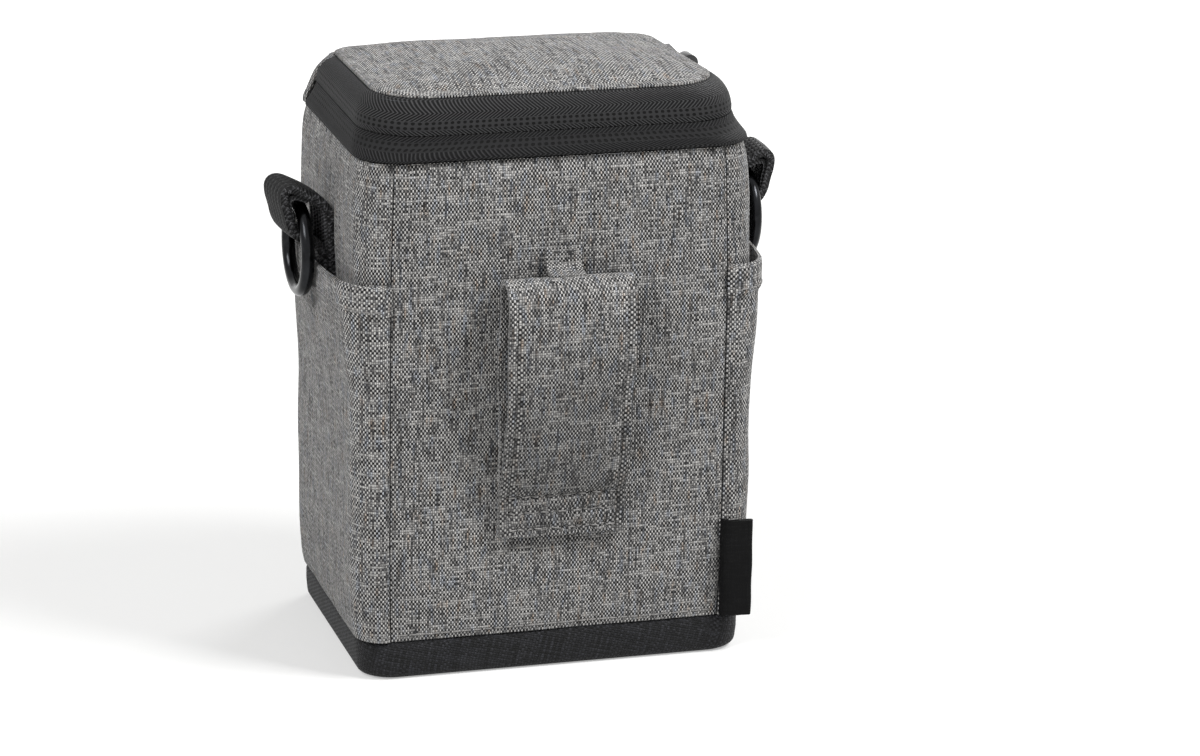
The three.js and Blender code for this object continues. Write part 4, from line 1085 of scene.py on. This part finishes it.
def strapShape(u, v):
    look = strapLook
    out, height = pathAt(strapPath, v)
    onOuter = smooth(v, 0.5, 0.56)
    wide = look["width"] / 2 + look["wavyEdge"] * ripple(v * strapLength, 0 * v, 30, 61)
    across = 2 * u - 1
    fromEdge = (1 - np.abs(across)) * wide
    free = onOuter * (1 - onOuter * smooth(v, 1 - sewnShare * 1.25, 1 - sewnShare * 0.9))
    # each stitch of the sewn foot draws the cloth into a dimple, in rows set half a stitch apart
    dimples = 0 * height
    for i, row in enumerate(np.linspace(look["boxLow"], look["boxHigh"], look["rows"])):
        beside = across * wide / look["dimplePitch"] + 0.5 * (i % 2) + 0.1 * ripple(across * 9, height, 9, 62)
        toStitch = np.abs(beside - np.round(beside)) * look["dimplePitch"]
        dimples = dimples + fade(np.hypot(toStitch, height - row), look["dimpleReach"], 2)
    dimples = dimples * smooth(fromEdge, look["edgeStitch"] - 1, look["edgeStitch"] + 1)
    groove = fade(np.abs(fromEdge - look["edgeStitch"]), look["grooveWidth"], 2)
    lift = (free * (look["slack"] * (1 - across ** 2) - look["edgeSlack"] * fade(fromEdge, 4)
                    + look["unevenness"] * ripple(across * wide, height, 24, 63))
            - onOuter * (look["hemGroove"] * groove + look["dimple"] * dimples))
    return np.stack([across * wide, back - out - lift, height], 1)


strapPiece = gridSheet("belt_loop_cloth", strapLook["columns"], round(strapLength / strapLook["step"]),
                       strapShape, (strapLook["width"], strapLength), centre=(0, back - foldMiddle, 84),
                       thickness=strapLook["thickness"], offset=0.0)
roundRims(strapPiece, strapLook["rimRound"])
settle(strapPiece, footShadedPolyester, "heather_fabric", "body", "belt_loop")

tabLook = {
    "width": 10.6, "thickness": 0.85, "top": 128.3, "sewn": 4.6, "length": 13.0, "off": 0.5, "crown": 0.2,
    "rimRound": 0.2,
}
tabPath = rounded([(0.75, tabLook["top"]), (0.75, tabLook["top"] - tabLook["sewn"]), (1.6, 122.4),
                   (3.6, 121.15), (6.1, 120.85)], 3)


def tabShape(u, v):
    out, height = pathAt(tabPath, v)
    across = 2 * u - 1
    lift = tabLook["off"] + tabLook["crown"] * (1 - across ** 2)
    return np.stack([across * tabLook["width"] / 2, back - out - lift, height], 1)


tabPiece = gridSheet("anchor_tab_cloth", 12, 22, tabShape, (tabLook["width"], tabLook["length"]),
                     centre=(0, back, 118), thickness=tabLook["thickness"], offset=0.0)
roundRims(tabPiece, tabLook["rimRound"])
settle(tabPiece, heatherPolyester, "heather_fabric", "body", "anchor_tab")

# The bare black label: a folded ribbon caught in the right-hand rear seam
labelLook = {"low": 12.6, "high": 42.0, "thickness": 0.45, "unevenness": 0.12, "bow": 0.25}
labelPath = rounded([(50.2, -43.3), (51.2, -45.0), (53.0, -45.75), (56.6, -45.75), (58.1, -45.6),
                     (58.75, -45.95), (58.75, -46.65), (58.1, -47.0), (56.6, -46.75), (53.0, -46.55),
                     (50.9, -45.9), (49.9, -44.0)], 3)


def labelShape(u, v):
    look = labelLook
    x, y = pathAt(labelPath, v)
    height = look["low"] + (look["high"] - look["low"]) * u
    wave = look["unevenness"] * ripple(height, 0 * x, 12, 71)
    return np.stack([x + wave, y - look["bow"] * np.sin(math.pi * u) ** 2, height], 1)


labelPiece = gridSheet("label_tab_ribbon", 30, 60, labelShape, (30, 19), centre=(55, -46.2, 27),
                       thickness=labelLook["thickness"], offset=0.0)
settle(labelPiece, labelSatin, "black_fabric", "body", "label_tab")
print("strap, tab and label made")


# The webbing loops, each folded round the top of its ring and sewn into its pocket

ringLook = {"major": 12.5, "minor": 2.0, "x": 68.071, "y": -3.0, "aboveWire": 2.55,
            "joint": 0.45, "jointDepth": 0.06}
loopLook = {"width": 20.0, "thickness": 2.2, "gather": 1.8, "twist": 1.2, "cup": 0.25, "tail": -22.8,
            "rib": 3.3, "ribHeight": 0.35, "rimRound": 0.4}
wall = -(ringLook["x"] - body["width"] / 2)
loopPath = rounded([
    (wall + 1.3, loopLook["tail"]), (wall + 1.3, -10), (wall + 1.3, 0.5), (-6.6, 3.0), (-4.2, 5.6),
    (-0.2, 7.7), (3.9, 9.6), (6.4, 8.4), (6.3, 5.0), (5.2, 1.6), (4.6, -1.6), (2.8, -4.8), (-0.4, -6.0),
    (-4.0, -7.4),
    (wall + 3.2, -11.5), (wall + 3.2, -15.5), (wall + 3.2, loopLook["tail"]),
], 3)

# the webbing's cut end lies inside the fold, between the ring and the outer turn
tuckLook = {"width": 15.0, "thickness": 1.4, "flare": 0.5}
tuckPath = rounded([(3.0, -2.6), (3.1, 1.2), (4.0, 4.2), (3.9, 6.5), (1.6, 6.7), (-0.4, 5.9), (-1.8, 5.3)], 3)


def besideRing(turned, out, across, height):
    return np.stack([turned * (ringLook["x"] + out), ringLook["y"] + across, height], 1)


def makeTuck(side, turned, pivot):
    length = reachOf(tuckPath)[-1]

    def shape(u, v):
        out, rise = pathAt(tuckPath, v)
        flare = tuckLook["flare"] * (2 * u - 1) ** 4
        return besideRing(turned, out + flare, (u - 0.5) * tuckLook["width"], pivot + rise)
    piece = gridSheet(side + "_webbing_tuck", 30, 40, shape, (tuckLook["width"], length),
                      centre=(turned * ringLook["x"], ringLook["y"], pivot), thickness=tuckLook["thickness"],
                      offset=0.0)
    weaveRims(piece)
    settle(piece, blackWebbing, "webbing", "body")


def makeLoop(side, turned, pivot):
    look = loopLook
    length = reachOf(loopPath)[-1]

    def shape(u, v):
        out, rise = pathAt(loopPath, v)
        free = smooth(v, 0.05, 0.3) * smooth(1 - v, 0.05, 0.3)
        across = 2 * u - 1
        ribs = (look["ribHeight"] * np.cos(math.pi * across * look["width"] / look["rib"])
                - look["cup"] * across ** 2 * free)
        ahead, aheadRise = pathAt(loopPath, np.minimum(v + 1e-3, 1))
        behind, behindRise = pathAt(loopPath, np.maximum(v - 1e-3, 0))
        along = np.hypot(ahead - behind, aheadRise - behindRise)
        # the ribs stand up from the webbing's outer face, which is on the left of its path
        out = out - ribs * (aheadRise - behindRise) / along + look["twist"] * (u - 0.35) * free
        rise = rise + ribs * (ahead - behind) / along
        return besideRing(turned, out, across * (look["width"] / 2 - look["gather"] * free), pivot + rise)
    piece = gridSheet(side + "_webbing", 60, 110, shape, (look["width"], length),
                      centre=(turned * (ringLook["x"] - 1.5), ringLook["y"], pivot + 2),
                      thickness=look["thickness"], offset=0.0)
    roundRims(piece, look["rimRound"])
    settle(piece, blackWebbing, "webbing", "body", side + "_webbing_loop")


def makeRing(side, turned, pivot):
    look = ringLook
    deselect()
    bpy.ops.mesh.primitive_torus_add(major_radius=look["major"] * mm, minor_radius=look["minor"] * mm,
                                     major_segments=112, minor_segments=28)
    ring = bpy.context.object
    ring.name = side + "_ring_wire"
    centre = Vector((turned * look["x"], look["y"], pivot + look["aboveWire"] - look["major"])) * mm
    ring.data.transform(Matrix.Translation(centre) @ Matrix.Rotation(math.pi / 2, 4, "Y"))
    # the butt joint of the bent wire, closed and filed, shows as a faint groove at the foot
    for vertex in ring.data.vertices:
        away = vertex.co - centre
        if away.z < 0:
            groove = look["jointDepth"] * math.exp(-(away.y / mm / look["joint"]) ** 2)
            vertex.co -= (away - away.normalized() * look["major"] * mm) * groove
    ring.data.shade_smooth()
    settle(ring, gunmetalPlate, "gunmetal", side + "_swing", side + "_ring")


for side, turned, drop in (("left", -1, 22.6), ("right", 1, 19.6)):
    for make in (makeLoop, makeTuck, makeRing):
        make(side, turned, body["panelTop"] - drop)
print("loops and rings made")


# Slider and puller: the solids' own shapes with cast, rounded edges

castLook = {"merge": 0.005, "flatAngle": 2, "zip_slider": 0.3, "zip_puller": 0.35}


def makeCasting(node, bodyName):
    cast = copyOfSolid(node, node + "_casting", castLook["merge"], castLook["flatAngle"])
    modify(cast, "BEVEL", width=castLook[node] * mm, segments=3, limit_method="ANGLE",
           angle_limit=math.radians(35))
    finishShading(cast, 50)
    settle(cast, blackLacquer, "slider_black", bodyName, node)


makeCasting("zip_slider", "slider")
makeCasting("zip_puller", "puller")
print("slider and puller made")


# Sewing

sewLook = {"footRow": 1.9, "lift": 0.08, "tabRow": 0.12}
footLine = sewLook["footRow"] / (body["panelTop"] - panelLow)
sewn("foot_stitches", [lineOn(backShape, (0.02, footLine), (0.98, footLine), sewLook["lift"])], greyThread)
sewn("pocket_hem_stitches", [leftHem, rightHem], greyThread)

edge = strapLook["edgeStitch"] / strapLook["width"]
half = strapLook["boxHalf"] / strapLook["width"]
rowShares = 1 - (np.array([strapLook["boxLow"], strapLook["boxHigh"]]) - strapLook["foot"]) / strapLength
boxLines = [((0.5 - half, row), (0.5 + half, row)) for row in np.linspace(*rowShares, strapLook["rows"])]
boxLines += [((side, 0.56), (side, 0.99)) for side in (edge, 1 - edge)]
onStrap = strapLook["thickness"] / 2 + sewLook["lift"]
sewn("belt_loop_stitches", [lineOn(strapShape, *ends, onStrap, -1) for ends in boxLines], greyThread)
tabRow = sewLook["tabRow"]
sewn("tab_stitches", [lineOn(tabShape, (0.08, tabRow), (0.92, tabRow), tabLook["thickness"] / 2 + 0.05, -1)],
     blackThread)
print("stitches made")


# Camera: the photo's angle and framing, fitted on the seams, the zip and the base

viewLook = {"place": (-0.3479, -1.1896, 0.4403), "yaw": 16.3, "pitch": 16.21, "roll": 0.69,
            "lens": 129.8, "sensor": 36, "shift": (0.0681, -0.0099)}
cameraData = bpy.data.cameras.new("view")
cameraData.lens = viewLook["lens"]
cameraData.sensor_width = viewLook["sensor"]
cameraData.shift_x, cameraData.shift_y = viewLook["shift"]
camera = add("view", cameraData)
camera.matrix_world = (Matrix.Translation(viewLook["place"])
                       @ Matrix.Rotation(math.radians(-viewLook["yaw"]), 4, "Z")
                       @ Matrix.Rotation(math.radians(90 - viewLook["pitch"]), 4, "X")
                       @ Matrix.Rotation(math.radians(viewLook["roll"]), 4, "Z"))
bpy.context.scene.camera = camera
bpy.context.scene.view_settings.view_transform = "Standard"

# Studio: a pale floor that keeps the shadow, a surround that is white for the camera and for shiny metal
# only, and soft lamps, each (x, y, z, watts, size) in metres

lightLook = {
    "surround": 0.2, "floor": "#cfcfce", "floorSize": 12, "floorGlow": (0.38, 1.0), "glowReach": (0.35, 1.5),
    "aim": (0, 0, 0.09),
    "key": (1.0, -0.78, 1.52, 28.5, 0.6),
    "fill": (-1.2, -0.7, 1.3, 21.0, 0.8),
    "rim": (0.9, 0.9, 0.8, 8.0, 0.6),
}


def cameraOrGloss(tree):
    ray = addNode(tree, "LightPath")
    return addNode(tree, "Math", {"operation": "MAXIMUM"},
                   {0: ray.outputs["Is Camera Ray"], 1: ray.outputs["Is Glossy Ray"]})


world = bpy.data.worlds.new("studio")
bpy.context.scene.world = world
world.use_nodes = True
air = world.node_tree
air.nodes.clear()
soft = addNode(air, "Background", {"Color": (1, 1, 1, 1), "Strength": lightLook["surround"]})
white = addNode(air, "Background", {"Color": (1, 1, 1, 1)})
surround = addNode(air, "MixShader", None, {"Fac": cameraOrGloss(air), 1: soft, 2: white})
addNode(air, "OutputWorld", None, {"Surface": surround})

for name in ("key", "fill", "rim"):
    *place, power, size = lightLook[name]
    lampData = bpy.data.lights.new(name + "_lamp", "AREA")
    lampData.energy = power
    lampData.size = size
    lamp = add(name + "_lamp", lampData)
    toward = Vector(lightLook["aim"]) - Vector(place)
    lamp.matrix_world = Matrix.Translation(place) @ toward.to_track_quat("-Z", "Y").to_matrix().to_4x4()

deselect()
bpy.ops.mesh.primitive_plane_add(size=lightLook["floorSize"])
floor = bpy.context.object
floor.name = "floor"
paper, tree, shader = newFinish("studio paper", {"Roughness": 0.9, "Specular IOR Level": 0.1,
                                                 "Base Color": linear(lightLook["floor"])})
# the paper's own glow grows with the distance from the pouch, so that it meets the white surround
onFloor = addNode(tree, "TexCoord").outputs["Object"]
far = addNode(tree, "VectorMath", {"operation": "LENGTH"}, {0: onFloor}).outputs["Value"]
nearReach, farReach = lightLook["glowReach"]
nearGlow, farGlow = lightLook["floorGlow"]
growing = addNode(tree, "MapRange", {"From Min": nearReach, "From Max": farReach, "To Min": nearGlow,
                                     "To Max": farGlow}, {"Value": far})
glow = addNode(tree, "Emission", None, {"Strength": growing})
lit = addNode(tree, "AddShader", None, {0: shader, 1: glow})
seen = addNode(tree, "MixShader", None, {0: cameraOrGloss(tree), 1: shader, 2: lit})
join(tree, tree.nodes["Material Output"], {"Surface": seen})
floor.data.materials.append(paper)
